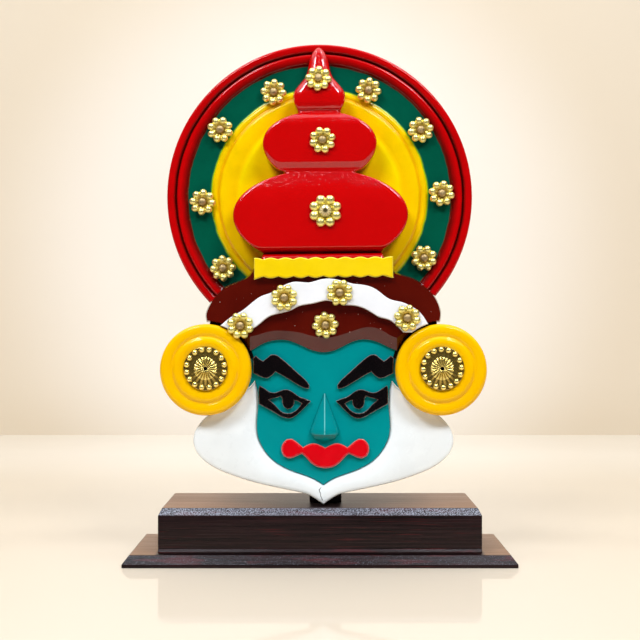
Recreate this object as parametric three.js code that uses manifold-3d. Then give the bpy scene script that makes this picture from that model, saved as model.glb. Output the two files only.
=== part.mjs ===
// Kathakali mask on a two-step stand. Millimetres, +Z up, the mask faces -Y.
// The origin is under the middle of the stand, on the surface that it rests on.

import * as THREE from 'three';
import { mergeVertices } from 'three/addons/utils/BufferGeometryUtils.js';
import Module from 'manifold-3d';

// Stand
const GLUE_GAP = 0.3;
const PLATE_WIDTH = 185.3;
const PLATE_DEPTH = 63.2;
const PLATE_SIDE_HEIGHT = 1.7;
const PLATE_HEIGHT = 5.6;
const PLATE_BEVEL = 3.1;
const BLOCK_WIDTH = 152.6;
const BLOCK_DEPTH = 53.6;
const BLOCK_TOP = 27.2;
const BLOCK_CHAMFER_HEIGHT = 3.4;
const BLOCK_CHAMFER = 1.8;
const POST_WIDTH = 15.5;
const POST_DEPTH = 14.7;
const POST_TOP = 98;
const POST_CENTRE_X = 2.65;
const POST_CHAMFER = 1.8;

// Layers of the mask, as distances along Y
const MASK_BACK = -11.4;
const WING_FRONT = -20.9;
const FACE_FRONT = -19.9;
const FEATURE_BACK = -20.2;
const FEATURE_FRONT = -21.9;
const LIP_FRONT = -22.4;
const NOSE_HEIGHT = 5.6;
const HAIR_FRONT = -24.9;
const TRIM_BACK = -25.2;
const BAND_FRONT = -28.4;
const STRIP_FRONT = -28.2;
const FACE_X = 1.6;
const LIP_X = 2.5;
const NOSE_X = 2.2;

// Halo, turned about an axis along Y
const HALO_CENTRE = [-0.2, 175.6];
const HALO_RADIUS = 74.1;
const HALO_BACK = -2.1;
const HALO_CREST = -11.1;
const HALO_SEGMENTS = 40;

// Ear discs and their rosettes
const EAR_RADIUS = 21.6;
const EAR_OFFSET = 55.5;
const EAR_Z = 92.4;
const EAR_BACK = -21.2;
const EAR_FRONT = -28.4;
const EAR_SEGMENTS = 24;
const ROSETTE_RADIUS = 10.2;
const ROSETTE_LOBES = 16;
const ROSETTE_SHIFT = [0.2, 0.7];

// Crown, carved in one with its foot, lobes and finial
const CROWN_TILT = THREE.MathUtils.degToRad(0.65);
const CROWN_FOOT = [0.9, 143.5];
const LOBE_BULGE = 0.8;
const LOBE_CORNER = 2.4;
const LOBE_SHIFT = -0.4;
const CROWN_CREST = 0.4;
const MIDDLE_LOBE = {
  centre: 56.8, half: 27.2, above: 15.7, below: 18.4, bottom: 44.8, neckHalf: 10.4,
  depth: 11.5, bevel: 3.3, drop: 1.75, neckDepth: 8.7, slope: 6.5,
};
const BOTTOM_LOBE = {
  centre: 22.7, half: 41.7, above: 21.8, below: 24.1, bottom: 6.1, neckHalf: 17.1,
  depth: 12, bevel: 1.3, drop: 2.2, neckDepth: 9.6, slope: 12,
};

// Stamped flowers
const FLOWER_RADIUS = 6.2;
const LARGE_FLOWER_RADIUS = 7.85;
const FLOWER_HEIGHT = 2;
const FLOWER_LOBES = 8;
const NAIL_RADIUS = 1.85;
const STONE_RADIUS = 3;

function paint(colour, roughness, metalness = 0) {
  return new THREE.MeshStandardMaterial({ color: new THREE.Color(colour), roughness, metalness });
}

const lacquer = paint('#2e2225', 0.25);
const redPaint = paint('#cd000a', 0.3);
const haloPaint = paint('#b80c10', 0.3);
const yellowPaint = paint('#ffc800', 0.35);
const maroonPaint = paint('#5c0d02', 0.35);
const tealPaint = paint('#00989b', 0.4);
const whitePaint = paint('#fafafa', 0.35);
const blackGloss = paint('#0a0508', 0.2);
const lipPaint = paint('#e10505', 0.25);
const gold = paint('#e1c85f', 0.25, 1);
const nailMetal = paint('#a58c5a', 0.4, 1);
const stone = paint('#d8dde6', 0.1);

const mask = new THREE.Group();
const crownGroup = new THREE.Group();
crownGroup.position.set(CROWN_FOOT[0], MASK_BACK, CROWN_FOOT[1]);
crownGroup.rotation.y = -CROWN_TILT;
mask.add(crownGroup);

function piece(name, geometry, material, parent = mask) {
  const mesh = new THREE.Mesh(geometry, material);
  mesh.name = name;
  parent.add(mesh);
  return mesh;
}

// Flat outlines are lists of points [across, up], anticlockwise as seen from the front

function point(pair) {
  return new THREE.Vector2(pair[0], pair[1]);
}

function curveThrough(pairs) {
  const knots = pairs.map(([x, z]) => new THREE.Vector3(x, z, 0));
  return new THREE.CatmullRomCurve3(knots, false, 'centripetal');
}

// The curve in equal steps, without its last point
function evenly(curve, steps) {
  return curve.getSpacedPoints(steps).slice(0, -1).map((knot) => new THREE.Vector2(knot.x, knot.y));
}

// A smooth line through the points, or a straight one between two, without its last point
function stroke(pairs, spacing) {
  if (pairs.length === 2) return [point(pairs[0])];
  const curve = curveThrough(pairs);
  return evenly(curve, Math.max(1, Math.round(curve.getLength() / spacing)));
}

function strokes(list, spacing) {
  return list.flatMap((pairs) => stroke(pairs, spacing));
}

function arc(centre, radius, from, to, steps) {
  return Array.from({ length: steps + 1 }, (unused, i) => {
    const share = i / steps;
    const angle = THREE.MathUtils.degToRad(from + (to - from) * share);
    const reach = typeof radius === 'function' ? radius(share) : radius;
    return new THREE.Vector2(centre[0] + reach * Math.cos(angle), centre[1] + reach * Math.sin(angle));
  });
}

function shifted(loop, across) {
  return loop.map((at) => new THREE.Vector2(at.x + across, at.y));
}

// The whole outline from its right half, which runs from its foot on the axis to its head on the axis
function symmetric(half, axis) {
  const others = half.slice(1, -1).reverse().map((at) => new THREE.Vector2(-at.x, at.y));
  return shifted([...half, ...others], axis);
}

function mirrored(loop) {
  return loop.map((at) => new THREE.Vector2(-at.x, at.y)).reverse();
}

const CORNER_LIMIT = 2;

// The outline moved inwards by a width, with the corners limited so that they don't run past each other
function inset(loop, width) {
  return loop.map((at, i) => {
    const before = loop[(i + loop.length - 1) % loop.length];
    const after = loop[(i + 1) % loop.length];
    const into = at.clone().sub(before).normalize();
    const out = after.clone().sub(at).normalize();
    const across = new THREE.Vector2(-into.y - out.y, into.x + out.x);
    const reach = width / Math.max(1 + into.dot(out), 0.3);
    const longest = CORNER_LIMIT * width / Math.max(across.length(), 0.1);
    return at.clone().addScaledVector(across, Math.min(reach, longest));
  });
}

function facingFront(loop, depth) {
  return loop.map((at) => new THREE.Vector3(at.x, depth, at.y));
}

function facingUp(loop, height) {
  return loop.map((at) => new THREE.Vector3(at.x, at.y, height));
}

function capTriangles(ring) {
  const normal = new THREE.Vector3();
  ring.forEach((at, i) => {
    normal.add(new THREE.Vector3().crossVectors(at, ring[(i + 1) % ring.length]));
  });
  normal.normalize();
  const across = new THREE.Vector3().subVectors(ring[1], ring[0]).projectOnPlane(normal).normalize();
  const up = new THREE.Vector3().crossVectors(normal, across);
  const flat = ring.map((at) => new THREE.Vector2(at.dot(across), at.dot(up)));
  return THREE.ShapeUtils.triangulateShape(flat, []);
}

// A closed body through rings of equally many points, each anticlockwise as seen from the last ring's side
function loft(rings) {
  const count = rings[0].length;
  const index = [];
  for (let i = 0; i + 1 < rings.length; i += 1) {
    for (let j = 0; j < count; j += 1) {
      const a = i * count + j;
      const b = i * count + (j + 1) % count;
      index.push(a, b, b + count, a, b + count, a + count);
    }
  }
  const last = (rings.length - 1) * count;
  capTriangles(rings[0]).forEach(([a, b, c]) => index.push(c, b, a));
  capTriangles(rings.at(-1)).forEach(([a, b, c]) => index.push(last + a, last + b, last + c));
  const geometry = new THREE.BufferGeometry();
  const positions = rings.flat().flatMap((at) => [at.x, at.y, at.z]);
  geometry.setAttribute('position', new THREE.Float32BufferAttribute(positions, 3));
  geometry.setIndex(index);
  geometry.computeVertexNormals();
  return geometry;
}

// A board between two depths whose front edge steps in by widths as it nears the front
function board(loop, back, front, edge) {
  const rings = edge.map(([width, drop]) => facingFront(inset(loop, width), front + drop));
  return loft([facingFront(loop, back), ...rings]);
}

const SOFT_EDGE = [[0, 0.5], [0.45, 0]];
const ROUND_EDGE = [[0, 1.4], [0.5, 0.4], [1.5, 0]];
const PILLOW_EDGE = [[0, 1], [0.9, 0]];

function solidFrom(geometry) {
  const bare = geometry.index ? geometry.clone() : geometry;
  bare.deleteAttribute('normal');
  if (bare.getAttribute('uv')) bare.deleteAttribute('uv');
  const merged = mergeVertices(bare, 1e-4);
  return new wasm.Manifold(new wasm.Mesh({
    numProp: 3,
    vertProperties: merged.getAttribute('position').array,
    triVerts: Uint32Array.from(merged.index.array),
  }));
}

function geometryFrom(solid) {
  const result = solid.getMesh();
  const geometry = new THREE.BufferGeometry();
  geometry.setAttribute('position', new THREE.Float32BufferAttribute(result.vertProperties, 3));
  geometry.setIndex(Array.from(result.triVerts));
  geometry.computeVertexNormals();
  return geometry;
}

const wasm = await Module();
wasm.setup();

// Stand: a bevelled plate, a moulded block and the post

function rectangle(width, depth, chamfer = 0) {
  const x = width / 2;
  const y = depth / 2;
  if (chamfer === 0) return [[-x, -y], [x, -y], [x, y], [-x, y]].map(point);
  const cut = chamfer;
  return [
    [-x + cut, -y], [x - cut, -y], [x, -y + cut], [x, y - cut],
    [x - cut, y], [-x + cut, y], [-x, y - cut], [-x, -y + cut],
  ].map(point);
}

const plateOutline = rectangle(PLATE_WIDTH, PLATE_DEPTH);
piece('stand_plate', loft([
  facingUp(plateOutline, 0),
  facingUp(plateOutline, PLATE_SIDE_HEIGHT),
  facingUp(inset(plateOutline, PLATE_BEVEL), PLATE_HEIGHT),
]), lacquer);

// The block's front and back carry a lip, a shallow groove and a chamfered top edge
function blockProfile() {
  const face = BLOCK_DEPTH / 2;
  const foot = PLATE_HEIGHT + GLUE_GAP;
  const front = [
    [face + 0.4, foot], [face + 0.4, foot + 0.8], [face - 0.4, foot + 2.3], [face, foot + 4.6],
    [face, BLOCK_TOP - BLOCK_CHAMFER_HEIGHT], [face - BLOCK_CHAMFER, BLOCK_TOP],
  ];
  const back = front.map(([y, z]) => [-y, z]).reverse();
  return [...front, ...back].map(point);
}

function blockFront() {
  const side = BLOCK_WIDTH / 2;
  const foot = PLATE_HEIGHT + GLUE_GAP;
  const shoulder = BLOCK_TOP - BLOCK_CHAMFER_HEIGHT;
  const top = side - BLOCK_CHAMFER;
  return [
    [-side, foot], [side, foot], [side, shoulder], [top, BLOCK_TOP], [-top, BLOCK_TOP], [-side, shoulder],
  ].map(point);
}

const profileAlongX = loft([-1, 1].map((side) => blockProfile()
  .map((at) => new THREE.Vector3(side * BLOCK_WIDTH, at.x, at.y))));
const frontAlongY = loft([1, -1].map((side) => facingFront(blockFront(), side * PLATE_DEPTH)));
piece('stand_block', geometryFrom(solidFrom(profileAlongX).intersect(solidFrom(frontAlongY))), lacquer);

const postOutline = rectangle(POST_WIDTH, POST_DEPTH, POST_CHAMFER);
const post = piece('support_post', loft([
  facingUp(postOutline, BLOCK_TOP + GLUE_GAP),
  facingUp(postOutline, POST_TOP - POST_CHAMFER),
  facingUp(inset(postOutline, POST_CHAMFER), POST_TOP),
]), lacquer);
post.position.set(POST_CENTRE_X, MASK_BACK + GLUE_GAP + POST_DEPTH / 2, 0);

// Halo: two rounded red rings with a deep groove between them, a green flat and the yellow middle

function turned(profile, segments) {
  const section = profile.map(([radius, depth]) => new THREE.Vector2(radius, depth));
  const geometry = new THREE.LatheGeometry(section, segments);
  geometry.deleteAttribute('normal');
  geometry.deleteAttribute('uv');
  return withoutSlivers(mergeVertices(geometry, 1e-4));
}

function withoutSlivers(geometry) {
  const kept = [];
  const corners = geometry.index.array;
  for (let i = 0; i < corners.length; i += 3) {
    const [a, b, c] = corners.slice(i, i + 3);
    if (a !== b && b !== c && c !== a) kept.push(a, b, c);
  }
  geometry.setIndex(kept);
  geometry.computeVertexNormals();
  return geometry;
}

const haloProfile = [
  [0, HALO_CREST], [39.6, HALO_CREST + 0.2], [40.7, HALO_CREST + 1],
  [43, HALO_CREST + 0.3], [46.6, HALO_CREST + 0.3], [48.7, HALO_CREST + 1.2], [50.4, HALO_CREST + 0.5],
  [52.3, HALO_CREST + 2], [63.7, HALO_CREST + 2], [64.3, HALO_CREST + 0.5], [66.4, HALO_CREST],
  [69, HALO_CREST + 0.9], [69.6, HALO_CREST + 2.3], [70.3, HALO_CREST + 0.6], [71.8, HALO_CREST],
  [73.2, HALO_CREST + 1.2], [HALO_RADIUS, HALO_CREST + 3], [HALO_RADIUS - 0.8, HALO_BACK], [0, HALO_BACK],
];
const halo = piece('halo_disc', turned(haloProfile, HALO_SEGMENTS), haloPaint);
halo.position.set(HALO_CENTRE[0], 0, HALO_CENTRE[1]);

// Wings and face share the edge that runs from the wing's tip to the chin, given for the right half

const WING_OUTER = [
  [0, 28], [4, 30.8], [8, 33], [13.5, 34.3], [24, 36.5], [34.3, 39], [43.5, 42], [51.5, 45.4],
  [57.8, 49.8], [61, 54], [62, 58], [61.5, 61.8], [59.3, 66], [56.4, 69.3], [52.8, 72],
];
const WING_EAR = [
  [52.8, 72], [53.4, 75.4], [59, 77.4], [66.5, 83], [69, 92], [65.5, 102], [57, 105.5], [49, 105],
];
const EAR_LUG = [
  [49, 105], [43, 101], [40.6, 94], [40.4, 87], [38.8, 82.4], [36.4, 82.2], [34.4, 84.5], [32.9, 86.3],
];
const WING_INNER = [
  [32.9, 86.3], [31.9, 82.7], [31.5, 75.8], [32.1, 66.4], [31.6, 60.3], [29.6, 55.6], [26.4, 51],
  [22.6, 47.6], [18, 45], [13.3, 43], [7.2, 41], [3, 38.9], [0, 37],
];
const FACE_HIDDEN = [
  [49, 105], [54.2, 108], [54.6, 113.5], [53.2, 119], [47, 127], [37, 132.5], [33, 137], [31, 143.2],
];

const earLug = stroke(EAR_LUG, 3.6);
const wingInner = stroke(WING_INNER, 4);
const wingHalf = [
  ...stroke(WING_OUTER, 4.2), ...stroke(WING_EAR, 6), ...earLug, ...wingInner, point([0, 37]),
];
piece('chin_wings', board(symmetric(wingHalf, FACE_X), MASK_BACK, WING_FRONT, ROUND_EDGE), whitePaint);

const faceHalf = [
  point([0, 37]), ...[...wingInner].reverse(), ...[...earLug].reverse().slice(0, -1),
  ...stroke(FACE_HIDDEN, 6), point([31, 143.2]), point([0, 143.2]),
];
const faceLoop = inset(symmetric(faceHalf, FACE_X), GLUE_GAP + 0.05);
piece('face_board', board(faceLoop, MASK_BACK, FACE_FRONT, SOFT_EDGE), tealPaint);

// Brows, eyes and lips are thin glossy cut-outs on the face

const BROW = [
  [[6.9, 83.2], [9.2, 83.6], [13, 85.6], [17.4, 88.3], [21, 90.4], [22.8, 91.3]],
  [[22.8, 91.3], [24.4, 89.6], [25.9, 88.4], [28, 88.3], [30.5, 89.3], [33.2, 90.6]],
  [[33.2, 90.6], [33.3, 95.6]],
  [[33.3, 95.6], [33.4, 98], [32.4, 99.1], [31, 98], [29.7, 96.6], [28.7, 96.4]],
  [[28.7, 96.4], [26.8, 97.8], [25, 99.4], [23.2, 99.6], [21.6, 98.8], [17.7, 95.8], [13, 91.5], [8.1, 87],
    [6.6, 84.9]],
  [[6.6, 84.9], [6.9, 83.2]],
];
const EYE = [
  [[5.9, 77.3], [7.5, 75.9], [9, 74.1], [11.5, 71.9], [14.1, 69.8], [16.9, 69.2], [19.8, 69.9], [23.5, 72.1],
    [27, 74], [30.7, 76]],
  [[30.7, 76], [30.8, 82.8]],
  [[30.8, 82.8], [30.2, 84.7]],
  [[30.2, 84.7], [28.4, 83.7], [26.4, 82.2], [23.9, 81.3], [22, 81.6], [19.5, 82.6], [17.2, 82.9], [15, 82],
    [12.6, 80.2], [10.5, 79], [8.2, 78.4], [5.9, 77.3]],
];
const EYE_OPENING = [
  [[13.8, 77.8], [12.2, 77.4], [10.3, 76.2]],
  [[10.3, 76.2], [11.5, 74.5], [13.8, 72.4], [16.7, 71.5], [19.3, 72.1], [21.2, 73.5], [23.3, 75.9],
    [26, 78]],
  [[26, 78], [24.2, 78.6], [22.2, 79], [20.4, 79.7]],
  [[20.4, 79.7], [19.5, 78.4]],
  [[19.5, 78.4], [19.4, 75.9], [18.4, 74.2], [16.7, 73.5], [15, 74.2], [13.9, 75.9], [13.8, 77.8]],
];
const LIP_HALF = [
  [[0, 45.5], [2.7, 45.8], [5, 46.7], [7.8, 49], [9.8, 51.3], [11.2, 52.3]],
  [[11.2, 52.3], [13.2, 51.5], [15.5, 50.4], [17.8, 50.2], [20, 51.5], [20.9, 54.1], [20.5, 56.5],
    [19.2, 58.6], [16.8, 59.6], [14.4, 58.6], [12.2, 56.8], [10.5, 55.4]],
  [[10.5, 55.4], [8, 56.8], [5.6, 57.3], [3.3, 56.9], [1.3, 55.8], [0, 55.2]],
];

const EYE_BEVEL = 0.4;

function eyeGeometry(outline, opening) {
  const shape = new THREE.Shape(outline);
  shape.holes.push(new THREE.Path(opening));
  const geometry = new THREE.ExtrudeGeometry(shape, {
    depth: FEATURE_BACK - FEATURE_FRONT - 2 * EYE_BEVEL,
    bevelThickness: EYE_BEVEL,
    bevelSize: EYE_BEVEL,
    bevelOffset: -EYE_BEVEL,
    bevelSegments: 1,
    steps: 1,
  });
  geometry.translate(0, 0, EYE_BEVEL);
  geometry.rotateX(Math.PI / 2);
  return geometry;
}

const browRight = strokes(BROW, 2.4);
const eyeRight = strokes(EYE, 2.7);
const openingRight = strokes(EYE_OPENING, 2.2);
for (const side of ['left', 'right']) {
  const turn = side === 'left' ? mirrored : (loop) => loop;
  const brow = shifted(turn(browRight), FACE_X);
  piece(`brow_${side}`, board(brow, FEATURE_BACK, FEATURE_FRONT, SOFT_EDGE), blackGloss);
  const eye = piece(`eye_${side}`, eyeGeometry(turn(eyeRight), turn(openingRight)), blackGloss);
  eye.position.set(FACE_X, FEATURE_BACK, 0);
}

const lipHalf = [...strokes(LIP_HALF, 2.4), point([0, 55.2])];
piece('lips', board(symmetric(lipHalf, LIP_X), FEATURE_BACK, LIP_FRONT, PILLOW_EDGE), lipPaint);

// Nose: a wedge with a sharp ridge, widest just above its undercut base.
// Each level gives the height, the half width and the share of the full ridge height.
const NOSE_LEVELS = [
  [58.7, 3.6, 0.1], [60.3, 5.6, 0.45], [62, 6.6, 0.97], [63.8, 7.1, 1], [67, 6.3, 0.86],
  [72, 4.4, 0.58], [77, 2.2, 0.27], [80.9, 0.7, 0.06],
];
const NOSE_RIDGE = 0.35;

function noseSection([height, half, share]) {
  const rise = share * NOSE_HEIGHT;
  const ridge = Math.min(NOSE_RIDGE, half * 0.3);
  const section = [
    [-half, 0], [-half * 0.9, -rise * 0.3], [-half * 0.5, -rise * 0.7], [-ridge, -rise],
    [ridge, -rise], [half * 0.5, -rise * 0.7], [half * 0.9, -rise * 0.3], [half, 0],
  ];
  return section.map(([x, y]) => new THREE.Vector3(x + NOSE_X, y + FEATURE_BACK, height));
}

piece('nose', loft(NOSE_LEVELS.map(noseSection)), tealPaint);

// Maroon hair board: a wavy hem with a wide bevel, cut round the ear discs

const HEM = [
  [-32.2, 101.7], [-26.2, 105.1], [-19.6, 106.5], [-15.3, 106.2], [-9.9, 104.3], [-4.4, 101.8], [1.4, 100.6],
  [7.1, 101.6], [13.6, 104.8], [18.5, 106.5], [22.9, 106.6], [28.3, 105.1], [32.7, 102.9], [36.1, 101.7],
];
const HEM_BEVEL = [
  [-33, 108], [-28.7, 109], [-23.3, 110.6], [-17.9, 110.8], [-9.8, 110], [-4, 108.4], [2.7, 107.5],
  [8, 108.3], [13.5, 110], [20.5, 112.2], [24.3, 112.5], [29.7, 110.8], [33, 108.7], [35.7, 107.2],
];
const HAIR_RIGHT = [
  [57.3, 115.1], [57.7, 118.1], [56.6, 123.4], [53.9, 128.3], [51, 131.3], [46, 134.9], [40, 137.2],
  [36.2, 138.3], [34.8, 139.6], [34, 141.5],
];
const HAIR_LEFT = [
  [-31, 141.5], [-32, 140], [-34.6, 136.4], [-40, 134], [-46.6, 130.7], [-51.2, 125.7], [-54, 120.2],
  [-54.6, 116.8], [-53.9, 114.9],
];
const EAR_CENTRE = { left: [FACE_X - EAR_OFFSET, EAR_Z], right: [FACE_X + EAR_OFFSET, EAR_Z] };
const NOTCH_RADIUS = EAR_RADIUS + 0.8;
const NOTCH_STEPS = 9;
const HAIR_BEVEL = 0.8;
const HEM_CORNER_BEVEL = 2.4;
const HEM_CORNER_ANGLE = 23.5;
const BEVEL_CORNER_ANGLE = 36;
const HEM_STEPS = 25;

// The bevel is widest beside the hem and narrows along the notch
function notchBevel(share) {
  return HAIR_BEVEL + HEM_CORNER_BEVEL * Math.max(0, 1 - share / 0.4);
}

function hairLoop(hem, extra, corner) {
  const rightReach = (share) => NOTCH_RADIUS + extra * notchBevel(share);
  const leftReach = (share) => NOTCH_RADIUS + extra * notchBevel(1 - share);
  const right = arc(EAR_CENTRE.right, rightReach, 180 - corner, 90, NOTCH_STEPS);
  const left = arc(EAR_CENTRE.left, leftReach, 90, corner, NOTCH_STEPS);
  return { hem: evenly(curveThrough(hem), HEM_STEPS), right, left };
}

const rim = hairLoop(HEM, 0, HEM_CORNER_ANGLE);
const hairOutline = [
  ...rim.hem, ...rim.right, ...stroke(HAIR_RIGHT, 3.4).slice(1), point([34, 141.5]),
  ...stroke(HAIR_LEFT, 3.4), ...rim.left,
];
const hairInset = inset(hairOutline, HAIR_BEVEL);
const bevelled = hairLoop(HEM_BEVEL, 1, BEVEL_CORNER_ANGLE);
const firstRight = rim.hem.length;
const firstLeft = hairOutline.length - rim.left.length;
const hairFace = hairInset.map((at, i) => {
  if (i < firstRight) return bevelled.hem[i];
  if (i < firstRight + NOTCH_STEPS) return bevelled.right[i - firstRight];
  if (i > firstLeft) return bevelled.left[i - firstLeft];
  return at;
});
piece('hair_board', loft([
  facingFront(hairOutline, FEATURE_BACK),
  facingFront(hairOutline, FEATURE_BACK - 0.9),
  facingFront(hairFace, HAIR_FRONT),
]), maroonPaint);

// White headband between the ear discs, and the scalloped strip across the crown's foot

const BAND_LOWER = [
  [-38.9, 109], [-35.5, 110.2], [-31.8, 111.6], [-28.5, 113.8], [-24.8, 116.9], [-19.7, 118.9],
  [-14.6, 119.9], [-10.1, 122.3], [-2.9, 123.6], [3.1, 125], [7, 124.2], [10.8, 123], [17.4, 122.4],
  [23.4, 119.9], [27.5, 117.2], [32.6, 115.9], [36.1, 113.3], [39.1, 110], [42.6, 110.2],
];
const BAND_UPPER = [
  [50.8, 114.4], [47.3, 119.2], [43, 122.4], [37.7, 124.5], [32.6, 125.7], [29, 128.4], [26, 130.6],
  [20.9, 132.4], [15.8, 132.9], [10.8, 134.3], [5.7, 135.3], [0.6, 135.1], [-5, 133.5], [-12.1, 133.9],
  [-17.1, 132.2], [-22.2, 128.9], [-25.8, 127.9], [-29.8, 125.8], [-33.9, 122.4], [-36.6, 120.3],
  [-41.9, 117.3], [-46.7, 113.4],
];
const BAND_SPACING = 3.4;
const bandOutline = [
  ...stroke(BAND_LOWER, BAND_SPACING),
  ...arc(EAR_CENTRE.right, EAR_RADIUS + 0.8, 128.4, 106, 3),
  ...stroke(BAND_UPPER, BAND_SPACING).slice(1),
  ...arc(EAR_CENTRE.left, EAR_RADIUS + 0.4, 71.3, 48.3, 3),
];
piece('headband', board(bandOutline, TRIM_BACK, BAND_FRONT, SOFT_EDGE), whitePaint);

const STRIP = {
  left: -31.9, right: 33.4, bottom: -7.3, top: 1.5, wave: 7.03, firstNotch: 4.3, swing: 0.45, flare: 0.6,
};
const STRIP_STEPS = 3;

// One long edge of the strip from left to right, whose two ends flare out by a little
function stripEdge(height, swing, flare) {
  const length = STRIP.right - STRIP.left;
  const step = STRIP.wave / STRIP_STEPS;
  const places = [0];
  for (let at = STRIP.firstNotch - step; at < length - step / 2; at += step) places.push(at);
  places.push(length);
  return places.map((at) => {
    const wave = Math.abs(Math.sin(Math.PI * (at - STRIP.firstNotch) / STRIP.wave)) * 2 - 1;
    const atEnd = at === 0 || at === length;
    return new THREE.Vector2(STRIP.left + at, height + swing * wave + (atEnd ? flare : 0));
  });
}

const stripOutline = [
  ...stripEdge(STRIP.bottom, -STRIP.swing, -STRIP.flare), ...stripEdge(STRIP.top, STRIP.swing, 0).reverse(),
];
piece('scalloped_strip', board(
  stripOutline, TRIM_BACK - MASK_BACK, STRIP_FRONT - MASK_BACK, SOFT_EDGE,
), yellowPaint, crownGroup);

// Crown: level sections from the foot to the finial's tip, heights measured from the foot

const BEVEL_STEPS = 2;

// Sections of a lobe: a bevel along its underside, the full face, and a slope that runs up into the neck
function lobeStations(lobe, steps) {
  const angleAt = (height) => Math.asin((height - lobe.centre) / lobe.below);
  const lowest = angleAt(lobe.bottom + lobe.bevel);
  const highest = Math.acos(lobe.neckHalf / lobe.half);
  const top = lobe.centre + lobe.above * Math.sin(highest);
  const angles = [];
  for (let i = 0; i < BEVEL_STEPS; i += 1) angles.push(angleAt(lobe.bottom + lobe.bevel * i / BEVEL_STEPS));
  for (let i = 0; i <= steps; i += 1) angles.push(lowest + (highest - lowest) * i / steps);
  return angles.map((angle) => {
    const height = lobe.centre + (angle > 0 ? lobe.above : lobe.below) * Math.sin(angle);
    const nearNeck = Math.max(0, 1 - (top - height) / lobe.slope);
    const nearBottom = Math.max(0, 1 - (height - lobe.bottom) / lobe.bevel);
    const face = lobe.depth + LOBE_BULGE * (Math.cos(angle) - 1);
    const sloped = lobe.neckDepth + (face - lobe.neckDepth) * (1 - nearNeck ** 2);
    const thick = sloped - lobe.drop * nearBottom;
    const low = Math.max(0, (lobe.centre - height) / (lobe.centre - lobe.bottom));
    return [height, lobe.half * Math.cos(angle), thick, LOBE_CORNER + lobe.bevel * low ** 2];
  });
}

const CROWN_STATIONS = [
  [0, 29.4, 11.2, 1.5, 0.4],
  [1.6, 29.2, 10.9, 1.5, 0.4],
  [4.2, 28.6, 9.7, 1.5, 0.4],
  [5.1, 28.4, 6, 1, 0.2],
  ...lobeStations(BOTTOM_LOBE, 11),
  [43.4, 17.4, 9.2, 1.4],
  ...lobeStations(MIDDLE_LOBE, 10),
  [72.6, 10.4, 8.4, 1.4],
  [73.4, 10.7, 8.9, 2],
  [75, 11.6, 9.6, 2.6],
  [77, 12.2, 10.4, 3.2],
  [79.6, 12.5, 10.6, 4],
  [82.4, 11.7, 10.1, 4.2],
  [84.3, 10.3, 9.8, 4.2],
  [85.9, 9, 9.5, 4.2],
  [87.2, 7.9, 9.3, 4.2],
  [88.4, 6.9, 9, 4.2],
  [90.2, 6.1, 8.5, 4],
  [92.3, 5.4, 7.8, 3.8],
  [95.5, 4.9, 6.9, 3.6],
  [98.2, 4.3, 6.3, 3.3],
  [100.6, 3.3, 5.4, 2.6],
  [102.3, 2, 4.6, 1.7],
  [103.2, 0.8, 3.8, 0.7],
];

// Flat back, straight sides and rounded front corners
function crownSection([height, half, thick, corner, shift = LOBE_SHIFT]) {
  const radius = Math.min(corner, half * 0.85, thick * 0.75);
  const crest = Math.min(CROWN_CREST, radius * 0.3);
  const bend = radius * (1 - Math.SQRT1_2);
  const rise = radius - crest;
  const rightSide = [
    [half, 0], [half, thick - radius], [half - bend, thick - crest - rise + rise * Math.SQRT1_2],
    [half - radius, thick - crest],
  ];
  const leftSide = rightSide.map(([x, y]) => [-x, y]);
  const section = [...leftSide, [0, thick], ...rightSide.reverse()];
  return section.map(([x, y]) => new THREE.Vector3(x + shift, -y, height));
}

piece('crown', loft(CROWN_STATIONS.map(crownSection)), redPaint, crownGroup);

// Ear discs: a flat rim, a groove and a raised ring round the rosette

const earProfile = [
  [0, EAR_FRONT], [10.6, EAR_FRONT], [11.4, EAR_FRONT - 0.3], [13.2, EAR_FRONT - 0.6], [15, EAR_FRONT - 0.2],
  [15.8, EAR_FRONT + 0.7], [16.8, EAR_FRONT + 0.2], [19.9, EAR_FRONT], [21.1, EAR_FRONT + 0.7],
  [EAR_RADIUS, EAR_FRONT + 2], [EAR_RADIUS, EAR_BACK], [0, EAR_BACK],
];

// Stamped rosette: a ring of beads, a sunk ring and a fluted middle
function lobedRing(radius, swing, depth, lobes, perLobe) {
  const count = lobes * perLobe;
  return Array.from({ length: count }, (unused, i) => {
    const angle = i / count * Math.PI * 2;
    const reach = radius + swing * (i % perLobe === 0 ? 1 : -1);
    return new THREE.Vector3(reach * Math.cos(angle), depth, reach * Math.sin(angle));
  });
}

const rosetteRings = [
  lobedRing(ROSETTE_RADIUS - 0.2, 0.2, 0, ROSETTE_LOBES, 2),
  lobedRing(8.8, 0.1, -1.4, ROSETTE_LOBES, 2),
  lobedRing(7, 0, -0.5, ROSETTE_LOBES, 2),
  lobedRing(1.4, 0, -1.7, ROSETTE_LOBES, 2),
];

for (const side of ['left', 'right']) {
  const [x, z] = EAR_CENTRE[side];
  const disc = piece(`ear_disc_${side}`, turned(earProfile, EAR_SEGMENTS), yellowPaint);
  disc.position.set(x, 0, z);
  const rosette = piece(`rosette_${side}`, loft(rosetteRings), gold);
  rosette.position.set(x + ROSETTE_SHIFT[0], EAR_FRONT - GLUE_GAP, z + ROSETTE_SHIFT[1]);
}

// Flowers: a back disc with eight beads, a dish in the middle and a nail through it

function flowerGeometry(radius) {
  const beads = radius * 0.76;
  return loft([
    lobedRing(radius * 0.955, radius * 0.045, 0, FLOWER_LOBES, 2),
    lobedRing(beads, 0.1, -FLOWER_HEIGHT, FLOWER_LOBES, 2),
    lobedRing(radius * 0.46, 0, -FLOWER_HEIGHT * 0.3, FLOWER_LOBES, 2),
  ]);
}

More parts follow.
